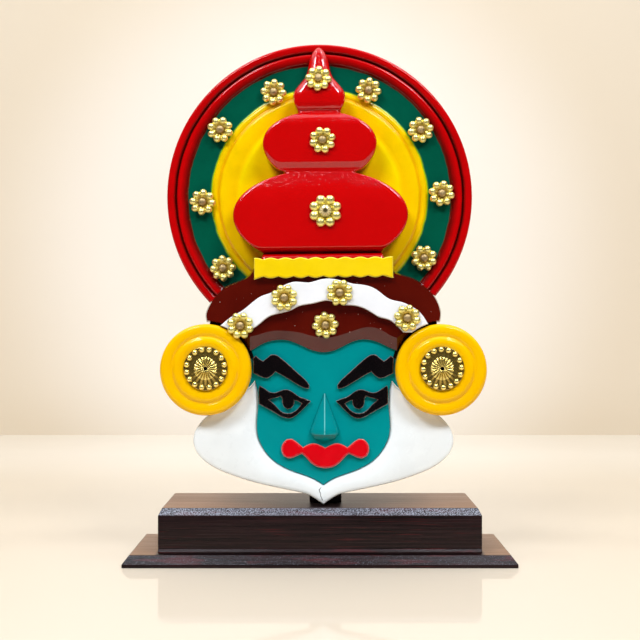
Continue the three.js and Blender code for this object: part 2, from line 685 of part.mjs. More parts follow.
const nailProfile = [[0, -1.9], [1.3, -1.6], [NAIL_RADIUS, -0.9], [NAIL_RADIUS, 0], [0, 0]];
const stoneProfile = [[0, -3], [1.7, -2.7], [STONE_RADIUS, -1.3], [STONE_RADIUS, 0], [0, 0]];
const NAIL_SEGMENTS = 8;

const RING_PLANE = MASK_BACK;
const BAND_PLANE = BAND_FRONT - GLUE_GAP;
const FOREHEAD_PLANE = HAIR_FRONT - GLUE_GAP;
const FINIAL_PLANE = MASK_BACK - 9.7;
const MIDDLE_PLANE = MASK_BACK - 11.9;
const BOTTOM_PLANE = MASK_BACK - 12.4;
const FINIAL_LEAN = THREE.MathUtils.degToRad(-14);

// Name, x, z, plane, turn of the first bead in degrees anticlockwise, and where they differ, lean and radius
const FLOWERS = [
  ['halo_top_left', -22.5, 226.1, RING_PLANE, 40],
  ['halo_top_right', 23.4, 226.9, RING_PLANE, 39],
  ['halo_upper_left', -48.3, 207.9, RING_PLANE, 27],
  ['halo_upper_right', 48.7, 207.8, RING_PLANE, 11.5],
  ['halo_middle_left', -56.8, 172.9, RING_PLANE, 40],
  ['halo_middle_right', 58.8, 177.1, RING_PLANE, 33],
  ['halo_lower_left', -46.9, 140.9, RING_PLANE, 5],
  ['halo_lower_right', 50.2, 145.8, RING_PLANE, 24],
  ['finial', -0.8, 230.6, FINIAL_PLANE, 40, FINIAL_LEAN],
  ['crown_middle', 1.1, 201.1, MIDDLE_PLANE, 17],
  ['crown_bottom', 2.5, 167.5, BOTTOM_PLANE, 22.5, 0, LARGE_FLOWER_RADIUS],
  ['band_outer_left', -37.4, 113.2, BAND_PLANE, 25],
  ['band_inner_left', -16.8, 126.3, BAND_PLANE, 22],
  ['band_inner_right', 9.2, 128.7, BAND_PLANE, 22],
  ['band_outer_right', 40.9, 116.8, BAND_PLANE, 32],
  ['forehead', 2.5, 113.5, FOREHEAD_PLANE, 6],
];

for (const [name, x, z, plane, turn, lean = 0, radius = FLOWER_RADIUS] of FLOWERS) {
  const place = new THREE.Group();
  place.position.set(x, plane, z);
  place.rotation.set(lean, -THREE.MathUtils.degToRad(turn), 0);
  mask.add(place);
  piece(`flower_${name}`, flowerGeometry(radius), gold, place);
  const fastener = radius === LARGE_FLOWER_RADIUS
    ? piece('rhinestone', turned(stoneProfile, NAIL_SEGMENTS), stone, place)
    : piece(`nail_${name}`, turned(nailProfile, NAIL_SEGMENTS), nailMetal, place);
  fastener.position.y = -FLOWER_HEIGHT * 0.3 - GLUE_GAP;
}

export default mask;
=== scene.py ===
import math

import bmesh
import bpy
from mathutils import Matrix, Vector


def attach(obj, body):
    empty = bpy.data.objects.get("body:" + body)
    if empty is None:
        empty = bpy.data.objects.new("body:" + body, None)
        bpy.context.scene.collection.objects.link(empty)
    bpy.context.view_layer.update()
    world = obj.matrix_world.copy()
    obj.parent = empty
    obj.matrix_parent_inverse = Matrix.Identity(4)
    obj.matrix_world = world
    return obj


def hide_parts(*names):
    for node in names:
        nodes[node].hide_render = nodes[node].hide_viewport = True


# Looks of a painted wooden kathakali mask on its lacquered stand
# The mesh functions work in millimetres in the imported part's frame, and turn them to metres at the end

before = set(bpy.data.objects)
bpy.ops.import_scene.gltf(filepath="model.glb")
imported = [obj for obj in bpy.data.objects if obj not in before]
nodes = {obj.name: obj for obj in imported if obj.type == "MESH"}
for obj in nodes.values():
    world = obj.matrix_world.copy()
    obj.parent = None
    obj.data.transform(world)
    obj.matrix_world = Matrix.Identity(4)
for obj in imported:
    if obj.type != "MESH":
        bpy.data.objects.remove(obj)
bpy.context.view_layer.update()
MM = 0.001

# Camera: a little below the middle of the mask, a little over half a metre away

CAMERA_PLACE = (0.0, -0.5916, 0.1145)
CAMERA_PITCH = 90.14
CAMERA_LENS = 67.5
CAMERA_SENSOR = 36.0

# Depths of the mask's layers

MASK_BACK = -11.4
HALO_CENTRE = (-0.2, 175.6)
HALO_RADIUS = 74.1
HALO_BACK = -2.1
HALO_CREST = -11.1
FEATURE_FRONT = -21.9
LIP_FRONT = -22.4
WING_FRONT = -20.9
HAIR_FRONT = -24.9
BAND_FRONT = -28.4
STRIP_FRONT = -28.2
EAR_FRONT = -28.4
EAR_BACK = -21.2
EAR_RADIUS = 21.6
EAR_CENTRES = {"left": (-53.9, 92.4), "right": (57.1, 92.4)}
GLUE_GAP = 0.3
NOSE_X = 2.2
STONE_CENTRE = (2.5, 167.5)
STONE_WAVES = 6

# A sheet's hollow share runs from 0 on its crests to 1 in a hole

HOLE_SHARE = 0.95

# Stand: heights of its slopes, the block's half width, and the post

PLATE_TOP = 5.6
FOOT_SLOPE = 8.5
BLOCK_SHOULDER = 23.8
BLOCK_HALF = 76.3
POST_X = 2.65
POST_HALF = 7.8

# Floor and backdrop: where the painted light on each is palest, and how little they mirror

STAGE_IOR = 1.14
WALL_GLOW_CENTRE = (-15.0, 185.0)
WALL_GLOW_REACH = (185.0, 350.0)
WALL_FOOT_SHADE = 60.0
FLOOR_PALE_BACK = (250.0, 480.0)


def colour(red, green, blue):
    """A shown colour from 0 to 255 as the linear colour that a shader takes."""
    def linear(value):
        share = value / 255
        return share / 12.92 if share <= 0.04045 else ((share + 0.055) / 1.055) ** 2.4
    return (linear(red), linear(green), linear(blue), 1.0)


# Material nodes

class Finish:
    """A material with the few kinds of node that the paints, the metal and the wood need."""

    def __init__(self, name):
        self.material = bpy.data.materials.new(name)
        self.material.use_nodes = True
        self.tree = self.material.node_tree
        self.shader = self.tree.nodes["Principled BSDF"]
        place = self.tree.nodes.new("ShaderNodeTexCoord").outputs["Object"]
        scale = self.tree.nodes.new("ShaderNodeVectorMath")
        scale.operation = "SCALE"
        scale.inputs["Scale"].default_value = 1 / MM
        self.link(place, scale.inputs[0])
        self.place = scale.outputs[0]
        parts = self.tree.nodes.new("ShaderNodeSeparateXYZ")
        self.link(self.place, parts.inputs[0])
        self.x, self.y, self.z = parts.outputs

    def set(self, name, value):
        """A plain value for one of the shader's inputs."""
        self.shader.inputs[name].default_value = value

    def link(self, source, target):
        self.tree.links.new(source, target)

    def give(self, target, value):
        if isinstance(value, bpy.types.NodeSocket):
            self.link(value, target)
        else:
            target.default_value = value

    def stretched(self, factors):
        node = self.tree.nodes.new("ShaderNodeVectorMath")
        node.operation = "MULTIPLY"
        self.link(self.place, node.inputs[0])
        node.inputs[1].default_value = factors
        return node.outputs[0]

    def noise(self, scale, detail=2.0, rough=0.5, stretch=None):
        node = self.tree.nodes.new("ShaderNodeTexNoise")
        self.link(self.stretched(stretch) if stretch else self.place, node.inputs["Vector"])
        node.inputs["Scale"].default_value = scale
        node.inputs["Detail"].default_value = detail
        node.inputs["Roughness"].default_value = rough
        return node.outputs["Fac"]

    def maths(self, operation, first, second=0.0):
        node = self.tree.nodes.new("ShaderNodeMath")
        node.operation = operation
        self.give(node.inputs[0], first)
        self.give(node.inputs[1], second)
        return node.outputs[0]

    def times(self, first, second):
        return self.maths("MULTIPLY", first, second)

    def off(self, value, middle):
        """How far a value is from a middle, to either side."""
        return self.maths("ABSOLUTE", self.maths("SUBTRACT", value, middle))

    def ranged(self, value, low, high, to_low=0.0, to_high=1.0):
        node = self.tree.nodes.new("ShaderNodeMapRange")
        node.interpolation_type = "SMOOTHSTEP"
        self.link(value, node.inputs["Value"])
        ends = {"From Min": low, "From Max": high, "To Min": to_low, "To Max": to_high}
        for end, number in ends.items():
            node.inputs[end].default_value = number
        return node.outputs["Result"]

    def mixed(self, share, first, second):
        node = self.tree.nodes.new("ShaderNodeMix")
        node.data_type = "RGBA"
        self.give(node.inputs[0], share)
        self.give(node.inputs[6], first)
        self.give(node.inputs[7], second)
        return node.outputs[2]

    def bumped(self, height, distance, under=None):
        node = self.tree.nodes.new("ShaderNodeBump")
        self.link(height, node.inputs["Height"])
        node.inputs["Distance"].default_value = distance * MM
        if under is not None:
            self.link(under, node.inputs["Normal"])
        return node.outputs["Normal"]

    def attribute(self, name):
        node = self.tree.nodes.new("ShaderNodeAttribute")
        node.attribute_name = name
        return node.outputs["Fac"]

    def distance(self, centre):
        """How far a place is from a centre, seen from the front."""
        across = self.maths("SUBTRACT", self.x, centre[0])
        up = self.maths("SUBTRACT", self.z, centre[1])
        return self.maths("SQRT", self.maths("ADD", self.times(across, across), self.times(up, up)))

    def normal_z(self):
        parts = self.tree.nodes.new("ShaderNodeSeparateXYZ")
        self.link(self.tree.nodes.new("ShaderNodeNewGeometry").outputs["True Normal"], parts.inputs[0])
        return parts.outputs[2]

    def finished(self, tone, roughness, skin):
        """The material, with its colour, roughness and bump connected."""
        self.link(tone, self.shader.inputs["Base Color"])
        self.link(roughness, self.shader.inputs["Roughness"])
        self.link(skin, self.shader.inputs["Normal"])
        return self.material

    def coated(self, weight, roughness, ior, skin):
        """A clear coat that follows the bump of the paint under it."""
        self.set("Coat Weight", weight)
        self.set("Coat Roughness", roughness)
        self.set("IOR", ior)
        self.link(skin, self.shader.inputs["Coat Normal"])


PAINT_COAT_ROUGHNESS = 0.04


def paint(
    name, main, shade, roughness, coat, ior=1.36, peel=0.02, grain=0.02, nibs=0.0,
    rim=None, specks=None, ridge=None, gap_shade=None,
):
    """Brushed paint on a sawn board: uneven cover, faint grain and orange peel.

    It can have dust specks; a tone on the arris, which is a painted highlight on the strip, black and lip
    paint, painted shade at the nose's foot and a greyish edge on the white band; a pale ridge; and painted
    shade in the gaps round the ear discs, which goes on where the board is covered.
    """
    finish = Finish(name)
    cover = finish.ranged(finish.noise(0.045, 4.0, 0.6), 0.35, 0.7)
    tone = finish.mixed(cover, main, shade)
    streaks = finish.noise(0.5, 3.0, 0.6, stretch=(0.12, 1.0, 1.0))
    tone = finish.mixed(finish.ranged(streaks, 0.5, 0.9, 0.0, 0.22), tone, shade)
    if specks:
        dust = finish.ranged(finish.noise(0.9, 1.0, 0.5), 0.79, 0.82)
        tone = finish.mixed(dust, tone, specks)
    # A tone on the arris: a painted highlight on the strip, black and lip paint, painted shade at the nose's
    # foot, and a greyish edge on the white band
    if rim:
        start, end, edge_colour = rim
        ragged = finish.maths("ADD", finish.y, finish.ranged(finish.noise(1.4), 0.2, 0.8, -0.12, 0.12))
        tone = finish.mixed(finish.ranged(ragged, start, end, 0.0, 0.9), tone, edge_colour)
    if ridge:
        middle, half, ridge_colour = ridge
        above = finish.ranged(finish.normal_z(), -0.2, 0.0)
        line = finish.times(finish.ranged(finish.off(finish.x, middle), 0.0, half, 0.8, 0.0), above)
        tone = finish.mixed(line, tone, ridge_colour)
    # Painted shade in the gaps round the ear discs, and on the part of the board that the hair board covers
    if gap_shade:
        reach, lowest, covered_from, gap_shade_colour = gap_shade
        for centre in EAR_CENTRES.values():
            near = finish.ranged(finish.distance(centre), reach - 0.4, reach, 1.0, 0.0)
            upper = finish.ranged(finish.z, lowest - 2, lowest)
            tone = finish.mixed(finish.times(near, upper), tone, gap_shade_colour)
        tone = finish.mixed(finish.ranged(finish.z, covered_from - 1, covered_from), tone, gap_shade_colour)
    gloss = finish.ranged(finish.noise(0.12, 3.0, 0.6), 0.3, 0.7, roughness * 0.8, roughness * 1.25)
    skin = finish.bumped(finish.noise(0.55, 2.0, 0.5), peel)
    skin = finish.bumped(streaks, grain, under=skin)
    if nibs:
        grit = finish.ranged(finish.noise(1.2, 1.0, 0.5), 0.6, 0.72)
        slopes = finish.ranged(finish.normal_z(), 0.1, 0.3)
        skin = finish.bumped(finish.times(grit, slopes), nibs, under=skin)
    finish.coated(coat, PAINT_COAT_ROUGHNESS, ior, skin)
    return finish.finished(tone, gloss, skin)


# Halo: its paints, and the distance from its middle at which each starts and ends; the dark reds and the
# orange are painted shade

HALO_YELLOW = colour(255, 224, 0)
HALO_DEEP_YELLOW = colour(253, 208, 0)
HALO_ORANGE_SHADE = colour(243, 172, 0)
HALO_YELLOW_EDGE = colour(150, 200, 0)
HALO_GREEN = colour(0, 88, 66)
HALO_RED = colour(198, 2, 5)
# Painted shade: the dark red on the inner red ring's inner slope and in the red groove, and the orange in the
# yellow groove
HALO_SHADE_RED = colour(108, 8, 5)
HALO_GROOVE_SHADE = colour(74, 12, 6)
HALO_BANDS = [
    (HALO_YELLOW, 0.0, 38.8), (HALO_DEEP_YELLOW, 40.4, 47.6), (HALO_ORANGE_SHADE, 48.8, 48.8),
    (HALO_DEEP_YELLOW, 49.9, 51.9), (HALO_YELLOW_EDGE, 52.3, 52.3), (HALO_GREEN, 52.9, 63.5),
    (HALO_SHADE_RED, 63.9, 64.7), (HALO_RED, 67.2, 68.6), (HALO_GROOVE_SHADE, 69.4, 69.7), (HALO_RED, 71.0, 75.0),
]
YELLOW_GROOVE = 49.4


def halo_paint():
    """Bands of paint by their distance from the halo's centre, with brushed edges; some bands are painted
    shade on a slope and in the grooves.
    """
    finish = Finish("halo_paint")
    radius = finish.distance(HALO_CENTRE)
    wobble = finish.ranged(finish.noise(0.12, 2.0, 0.5), 0.3, 0.7, -0.2, 0.2)
    share = finish.maths("DIVIDE", finish.maths("ADD", radius, wobble), HALO_RADIUS + 1)
    ramp = finish.tree.nodes.new("ShaderNodeValToRGB")
    finish.link(share, ramp.inputs[0])
    edges = [(reach, tone) for tone, inner, outer in HALO_BANDS for reach in sorted({inner, outer})]
    stops = ramp.color_ramp.elements
    while len(stops) < len(edges):
        stops.new(1.0)
    for stop, (reach, tone) in zip(stops, edges):
        stop.position = reach / (HALO_RADIUS + 1)
        stop.color = tone
    cover = finish.ranged(finish.noise(0.05, 4.0, 0.6), 0.35, 0.75, 0.0, 0.16)
    tone = finish.mixed(cover, ramp.outputs[0], colour(0, 0, 0))
    grime = finish.ranged(finish.noise(0.35, 5.0, 0.7), 0.62, 0.72, 0.0, 0.3)
    near_groove = finish.ranged(finish.off(radius, YELLOW_GROOVE), 0.3, 1.4, 1.0, 0.0)
    tone = finish.mixed(finish.times(grime, near_groove), tone, colour(110, 60, 0))
    gloss = finish.ranged(finish.noise(0.12, 3.0, 0.6), 0.3, 0.7, 0.12, 0.18)
    skin = finish.bumped(finish.noise(0.6, 2.0, 0.5), 0.05)
    turning = finish.noise(0.9, 3.0, 0.6, stretch=(0.25, 1.0, 0.25))
    skin = finish.bumped(turning, 0.03, under=skin)
    finish.coated(0.3, PAINT_COAT_ROUGHNESS, 1.22, skin)
    return finish.finished(tone, gloss, skin)


def lacquered_wood():
    """Nearly black lacquer with reddish streaks of grain, and speckled slopes but for the block's foot, the
    pale specks being painted glints of the sheen.

    The tops are painted pale brown, with the grain showing, as a painted reflection of the pale backdrop; it
    fades to dark towards the post as the post's painted shadow and reflection, and the plate in front of the
    block stays dark, as it mirrors the block's dark front there.
    """
    finish = Finish("lacquered_wood")
    facing_up = finish.normal_z()
    grain = finish.noise(1.0, 5.0, 0.65, stretch=(0.02, 0.55, 0.9))
    tone = finish.mixed(finish.ranged(grain, 0.35, 0.6), colour(18, 9, 11), colour(38, 22, 23))
    red = finish.ranged(finish.noise(0.7, 4.0, 0.6, stretch=(0.04, 0.8, 2.6)), 0.58, 0.68, 0.0, 0.65)
    patches = finish.ranged(finish.noise(0.03, 2.0, 0.5), 0.4, 0.6)
    tone = finish.mixed(finish.times(red, patches), tone, colour(92, 30, 32))
    sloped = finish.times(finish.ranged(facing_up, 0.2, 0.4), finish.ranged(facing_up, 0.8, 0.95, 1.0, 0.0))
    warm = finish.ranged(finish.noise(0.35, 3.0, 0.6, stretch=(0.12, 1.0, 1.0)), 0.5, 0.62, 0.0, 0.6)
    tone = finish.mixed(finish.times(sloped, warm), tone, colour(78, 26, 30))
    glint_amount = finish.ranged(finish.z, PLATE_TOP, BLOCK_SHOULDER, 0.3, 0.66)
    off_foot = finish.ranged(finish.off(finish.z, FOOT_SLOPE), 2.8, 3.2)
    marked = finish.times(finish.times(sloped, glint_amount), off_foot)
    least = finish.ranged(finish.z, PLATE_TOP, BLOCK_SHOULDER, 0.6, 0.49)
    # Pale specks on the slopes, fewer low down and none on the block's foot, are painted glints of the
    # lacquer's sheen
    glint_specks = finish.ranged(finish.maths("SUBTRACT", finish.noise(2.4, 2.0, 0.7), least), 0.0, 0.06)
    tone = finish.mixed(finish.times(glint_specks, marked), tone, colour(172, 176, 192))
    # Painted reflection: the tops' pale brown stands for the mirrored pale backdrop, with painted shadow and
    # reflection of the post near it and the plate left dark in front of the block
    top = finish.ranged(facing_up, 0.9, 0.98)
    aside = finish.off(finish.x, POST_X)
    near_post = finish.times(
        finish.ranged(aside, POST_HALF, POST_HALF + 60, 0.15, 1.0),
        finish.ranged(aside, POST_HALF - 1, POST_HALF + 1, 0.05, 1.0),
    )
    on_block = finish.times(finish.ranged(finish.z, PLATE_TOP + 1, PLATE_TOP + 2), near_post)
    beside_block = finish.ranged(finish.off(finish.x, 0.0), BLOCK_HALF, BLOCK_HALF + 2)
    brown = finish.times(top, finish.ranged(grain, 0.3, 0.7, 0.95, 0.65))
    brown = finish.times(brown, finish.maths("MAXIMUM", beside_block, on_block))
    tone = finish.mixed(brown, tone, colour(150, 112, 84))
    rough = finish.maths("ADD", finish.ranged(grain, 0.3, 0.7, 0.2, 0.3), finish.times(top, 0.14))
    skin = finish.bumped(finish.noise(1.3, 3.0, 0.7), 0.1)
    skin = finish.bumped(grain, 0.06, under=skin)
    finish.coated(0.02, 0.12, 1.27, skin)
    return finish.finished(tone, rough, skin)


def stamped_metal(name, high, low, roughness):
    """Stamped brass-coloured sheet: pale and bright where raised, deeper and tarnished in the hollows, and
    near black in a hole as painted shade.
    """
    finish = Finish(name)
    hollow = finish.attribute("hollow")
    spots = finish.ranged(finish.noise(0.9, 3.0, 0.6), 0.5, 0.8, 0.0, 0.25)
    tone = finish.mixed(finish.maths("MAXIMUM", hollow, spots), high, low)
    # Near black in a hole: painted shade
    tone = finish.mixed(finish.ranged(hollow, HOLE_SHARE, 1.0), tone, colour(8, 5, 3))
    finish.set("Metallic", 0.85)
    rough = finish.ranged(finish.noise(1.2, 2.0, 0.5), 0.3, 0.7, roughness * 0.8, roughness * 1.3)
    return finish.finished(tone, rough, finish.bumped(finish.noise(1.0, 2.0, 0.5), 0.015))


def nail_metal():
    """Dull brown brass of a nail's head, with filing marks."""
    finish = Finish("nail_metal")
    marked = finish.ranged(finish.noise(1.1, 4.0, 0.7), 0.35, 0.7)
    tone = finish.mixed(marked, colour(162, 136, 92), colour(202, 176, 124))
    finish.set("Metallic", 0.75)
    marks = finish.noise(2.2, 3.0, 0.6, stretch=(1.0, 1.0, 0.2))
    return finish.finished(tone, finish.ranged(marked, 0.0, 1.0, 0.42, 0.6), finish.bumped(marks, 0.12))


def cut_stone():
    """Foiled cut glass: pale rays round a dark star, a painted reflection of the foil shining back between
    the facets.
    """
    finish = Finish("rhinestone")
    across = finish.maths("SUBTRACT", finish.x, STONE_CENTRE[0])
    up = finish.maths("SUBTRACT", finish.z, STONE_CENTRE[1])
    radius = finish.distance(STONE_CENTRE)
    turns = finish.times(finish.maths("ARCTAN2", up, across), STONE_WAVES)
    ray = finish.maths("ABSOLUTE", finish.maths("SINE", turns))
    star = finish.maths("SUBTRACT", radius, finish.times(ray, 0.8))
    cloud = finish.ranged(finish.noise(0.8, 2.0, 0.5), 0.35, 0.7)
    tone = finish.mixed(cloud, colour(244, 224, 164), colour(222, 196, 140))
    # Painted reflection: the dark lines between the pale rays and the dark star
    lines = finish.ranged(ray, 0.0, 0.55, 0.9, 0.0)
    tone = finish.mixed(lines, tone, colour(112, 88, 44))
    tone = finish.mixed(finish.ranged(star, 0.3, 0.8, 0.95, 0.0), tone, colour(64, 50, 22))
    finish.set("Metallic", 0.1)
    finish.set("Coat Weight", 0.15)
    finish.set("Coat Roughness", 0.02)
    rough = finish.ranged(cloud, 0.0, 1.0, 0.12, 0.2)
    return finish.finished(tone, rough, finish.bumped(finish.noise(1.5), 0.01))


def crack_shade():
    """Split wood inside the crack at the chin, painted near black as the narrow crack's shade."""
    finish = Finish("crack_painted_shade")
    fibre = finish.noise(1.5, 3.0, 0.6, stretch=(1.0, 1.0, 0.3))
    # Near black as painted shade in the narrow crack
    tone = finish.mixed(fibre, colour(22, 14, 8), colour(60, 42, 30))
    return finish.finished(tone, finish.ranged(fibre, 0.3, 0.7, 0.8, 0.95), finish.bumped(fibre, 0.1))


def wall_painted_shade(finish):
    """Painted light and shade on the backdrop: palest round a point behind the mask and darker at its foot.
    """
    foot = finish.ranged(finish.z, 0.0, WALL_FOOT_SHADE, 0.12, 0.0)
    glow = finish.ranged(finish.distance(WALL_GLOW_CENTRE), *WALL_GLOW_REACH, 0.0, 0.9)
    return finish.maths("ADD", foot, glow)


def floor_painted_shade(finish):
    """Painted light on the floor: palest in a band along the backdrop, darker towards the front."""
    return finish.ranged(finish.y, *FLOOR_PALE_BACK, 1.0, 0.0)


def surface(name, tone, shade, low, painted_shade, roughness, scale, bump):
    """Plain floor or backdrop with a faint unevenness; its painted shade gives the share of its lower tone.
    """
    finish = Finish(name)
    cloud = finish.ranged(finish.noise(scale, 3.0, 0.5), 0.3, 0.7)
    cover = finish.mixed(painted_shade(finish), finish.mixed(cloud, tone, shade), low)
    finish.set("IOR", STAGE_IOR)
    rough = finish.ranged(cloud, 0.0, 1.0, roughness, roughness * 1.2)
    return finish.finished(cover, rough, finish.bumped(finish.noise(scale * 4), bump))


RED = paint("red_paint", colour(206, 0, 2), colour(201, 0, 1), 0.13, coat=0.8, nibs=0.05)
MAROON = paint(
    "maroon_paint", colour(90, 13, 2), colour(84, 9, 1), 0.15, coat=0.6, specks=colour(200, 170, 160),
)
# The face board gets painted shade round the ear discs, where the gaps beside them lie in shadow, and on its
# part that the hair board covers
TEAL = paint(
    "teal_paint", colour(0, 146, 149), colour(0, 141, 144), 0.2, coat=0.05, ior=1.2,
    gap_shade=(EAR_RADIUS + 1.7, 98.0, 113.0, colour(16, 7, 5)),
)
# The nose's darker teal rim at its foot is painted shade
NOSE_TEAL = paint(
    "nose_paint", colour(0, 142, 145), colour(0, 134, 137), 0.2, coat=0.3, peel=0.06, ior=1.25,
    rim=(-21.2, -20.6, colour(0, 112, 116)), ridge=(NOSE_X, 0.36, colour(130, 214, 212)),
)
WHITE = paint(
    "white_paint", colour(249, 254, 255), colour(243, 248, 249), 0.3, coat=0.3, specks=colour(150, 140, 130),
)
BAND_WHITE = paint(
    "band_paint", colour(250, 250, 251), colour(244, 244, 246), 0.45, coat=0.2,
    rim=(BAND_FRONT + 0.15, BAND_FRONT + 0.5, colour(170, 150, 145)),
)
# The strip's paler rim is a painted highlight on its rounded edge
STRIP_YELLOW = paint(
    "yellow_paint", colour(250, 214, 0), colour(242, 204, 0), 0.42, coat=0.15, ior=1.25,
    rim=(STRIP_FRONT + 0.1, STRIP_FRONT + 0.5, colour(255, 236, 90)),
)
EAR_YELLOW = paint("ear_paint", colour(252, 194, 0), colour(249, 187, 0), 0.15, coat=0.3, ior=1.2)
# The black paint's pinkish rim is a painted highlight on the arris
BLACK = paint(
    "black_gloss", colour(10, 5, 8), colour(5, 3, 5), 0.18, coat=0.6, peel=0.05,
    rim=(FEATURE_FRONT + 0.12, FEATURE_FRONT + 0.45, colour(150, 122, 116)),
)
# The lips' pale rim is a painted highlight on the arris
LIP_RED = paint(
    "lip_paint", colour(224, 2, 20), colour(214, 1, 14), 0.18, coat=0.4, peel=0.05, ior=1.25,
    rim=(LIP_FRONT + 0.55, LIP_FRONT + 1.0, colour(196, 130, 118)),
)
BACK_BROWN = paint("back_paint", colour(52, 34, 28), colour(38, 24, 20), 0.6, coat=0.05, grain=0.12)
HALO = halo_paint()
WOOD = lacquered_wood()
GOLD = stamped_metal("stamped_gold", colour(250, 238, 150), colour(218, 182, 42), 0.32)
ROSETTE_GOLD = stamped_metal("rosette_gold", colour(252, 232, 140), colour(146, 112, 32), 0.2)
NAIL = nail_metal()
STONE = cut_stone()
CRACK_SHADE = crack_shade()


# Mesh functions

def smooth_by_angle(mesh, degrees):
    """Smooth faces, with every edge that turns by more than the angle kept sharp."""
    work = bmesh.new()
    work.from_mesh(mesh)
    for edge in work.edges:
        turn = edge.calc_face_angle(0.0) if len(edge.link_faces) == 2 else math.pi
        edge.smooth = turn < math.radians(degrees)
    for face in work.faces:
        face.smooth = True
    work.to_mesh(mesh)
    work.free()


def placed(name, data):
    """A new object in the scene, for a mesh, a lamp or the camera."""
    made = bpy.data.objects.new(name, data)
    bpy.context.scene.collection.objects.link(made)
    return made


def new_piece(node, mesh, place=None):
    """An object for a finished mesh in metres, which stands for a CAD node and rides on the one body."""
    made = placed(node + "_look", mesh)
    if place is not None:
        mesh.transform(place)
    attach(made, "root")
    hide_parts(node)
    return made


def mesh_from(name, points, faces, material, degrees, hollow=None):
    mesh = bpy.data.meshes.new(name)
    mesh.from_pydata([Vector(p) * MM for p in points], [], faces)
    mesh.materials.append(material)
    work = bmesh.new()
    work.from_mesh(mesh)
    bmesh.ops.recalc_face_normals(work, faces=work.faces)
    work.to_mesh(mesh)
    work.free()
    if hollow:
        shares = mesh.attributes.new("hollow", "FLOAT", "POINT")
        shares.data.foreach_set("value", hollow)
    smooth_by_angle(mesh, degrees)
    return mesh


def rounded(profile, radius, steps):
    """The profile with each inner corner turned into a short curve, no longer than the lines beside it."""
    made = [profile[0]]
    for before, corner, after in zip(profile, profile[1:], profile[2:]):
        a, b, c = Vector(before), Vector(corner), Vector(after)
        reach_in = min(radius, (a - b).length * 0.48)
        reach_out = min(radius, (c - b).length * 0.48)
        start = b + (a - b).normalized() * reach_in
        end = b + (c - b).normalized() * reach_out
        for i in range(steps + 1):
            t = i / steps
            spot = start * (1 - t) ** 2 + b * 2 * t * (1 - t) + end * t ** 2
            made.append(tuple(spot))
    made.append(profile[-1])
    return made


def circle(radius, depth, count, centre=(0, 0), shift=0.0):
    """Points round a centre at one depth, shifted by a share of a step."""
    angles = [2 * math.pi * (i + shift) / count for i in range(count)]
    return [(centre[0] + radius * math.sin(a), depth, centre[1] + radius * math.cos(a)) for a in angles]


def turned(profile, segments, centre=(0, 0)):
    """Points and faces of a disc turned about a line along Y, the profile from the front's middle round."""
    points, rings, faces = [], [], []
    for radius, depth in profile:
        count = segments if radius > 0 else 1
        rings.append(list(range(len(points), len(points) + count)))
        points += circle(radius, depth, count, centre)
    for inner, outer in zip(rings, rings[1:]):
        for i in range(segments):
            j = (i + 1) % segments
            if len(inner) == 1:
                faces.append((inner[0], outer[i], outer[j]))
            elif len(outer) == 1:
                faces.append((inner[i], outer[0], inner[j]))
            else:
                faces.append((inner[i], outer[i], outer[j], inner[j]))
    return points, faces


def bands(levels, count):
    """Faces between neighbouring levels, each a closed row of equally many points."""
    faces = []
    for level in range(levels - 1):
        low, high = level * count, (level + 1) * count
        for i in range(count):
            j = (i + 1) % count
            faces.append((low + i, low + j, high + j, high + i))
    return faces


def lofted(sections):
    """Points and faces of a closed form through sections with equal numbers of points, with flat ends."""
    count = len(sections[0])
    points = [p for section in sections for p in section]
    faces = bands(len(sections), count)
    faces.append(tuple(reversed(range(count))))
    faces.append(tuple(range(len(points) - count, len(points))))
    return points, faces


def paint_backs(mesh):
    """The faces that look backwards get the plain brown back paint."""
    mesh.materials.append(BACK_BROWN)
    for face in mesh.polygons:
        if face.normal.y > 0.9:
            face.material_index = 1


WELD = 2e-6
FLAT_TURN = math.radians(0.4)
SAME_LEVEL = 1e-6
SMOOTH_TURN = math.radians(33)
CURVE_LEVELS = 2
EASED_TURN = math.radians(20)


def welded_copy(node):
    """The node's own shape as one connected mesh, its coplanar triangles joined."""
    work = bmesh.new()
    work.from_mesh(nodes[node].data)
    bmesh.ops.remove_doubles(work, verts=work.verts, dist=WELD)
    bmesh.ops.dissolve_limit(work, angle_limit=FLAT_TURN, verts=work.verts, edges=work.edges)
    bmesh.ops.recalc_face_normals(work, faces=work.faces)
    return work


def level_with(vertex, depth):
    return abs(vertex.co.y - depth) < SAME_LEVEL


def ring_neighbours(vertex):
    """The two points beside this one on the same level of the board's edge."""
    beside = [edge.other_vert(vertex) for edge in vertex.link_edges]
    return [other for other in beside if level_with(other, vertex.co.y)]


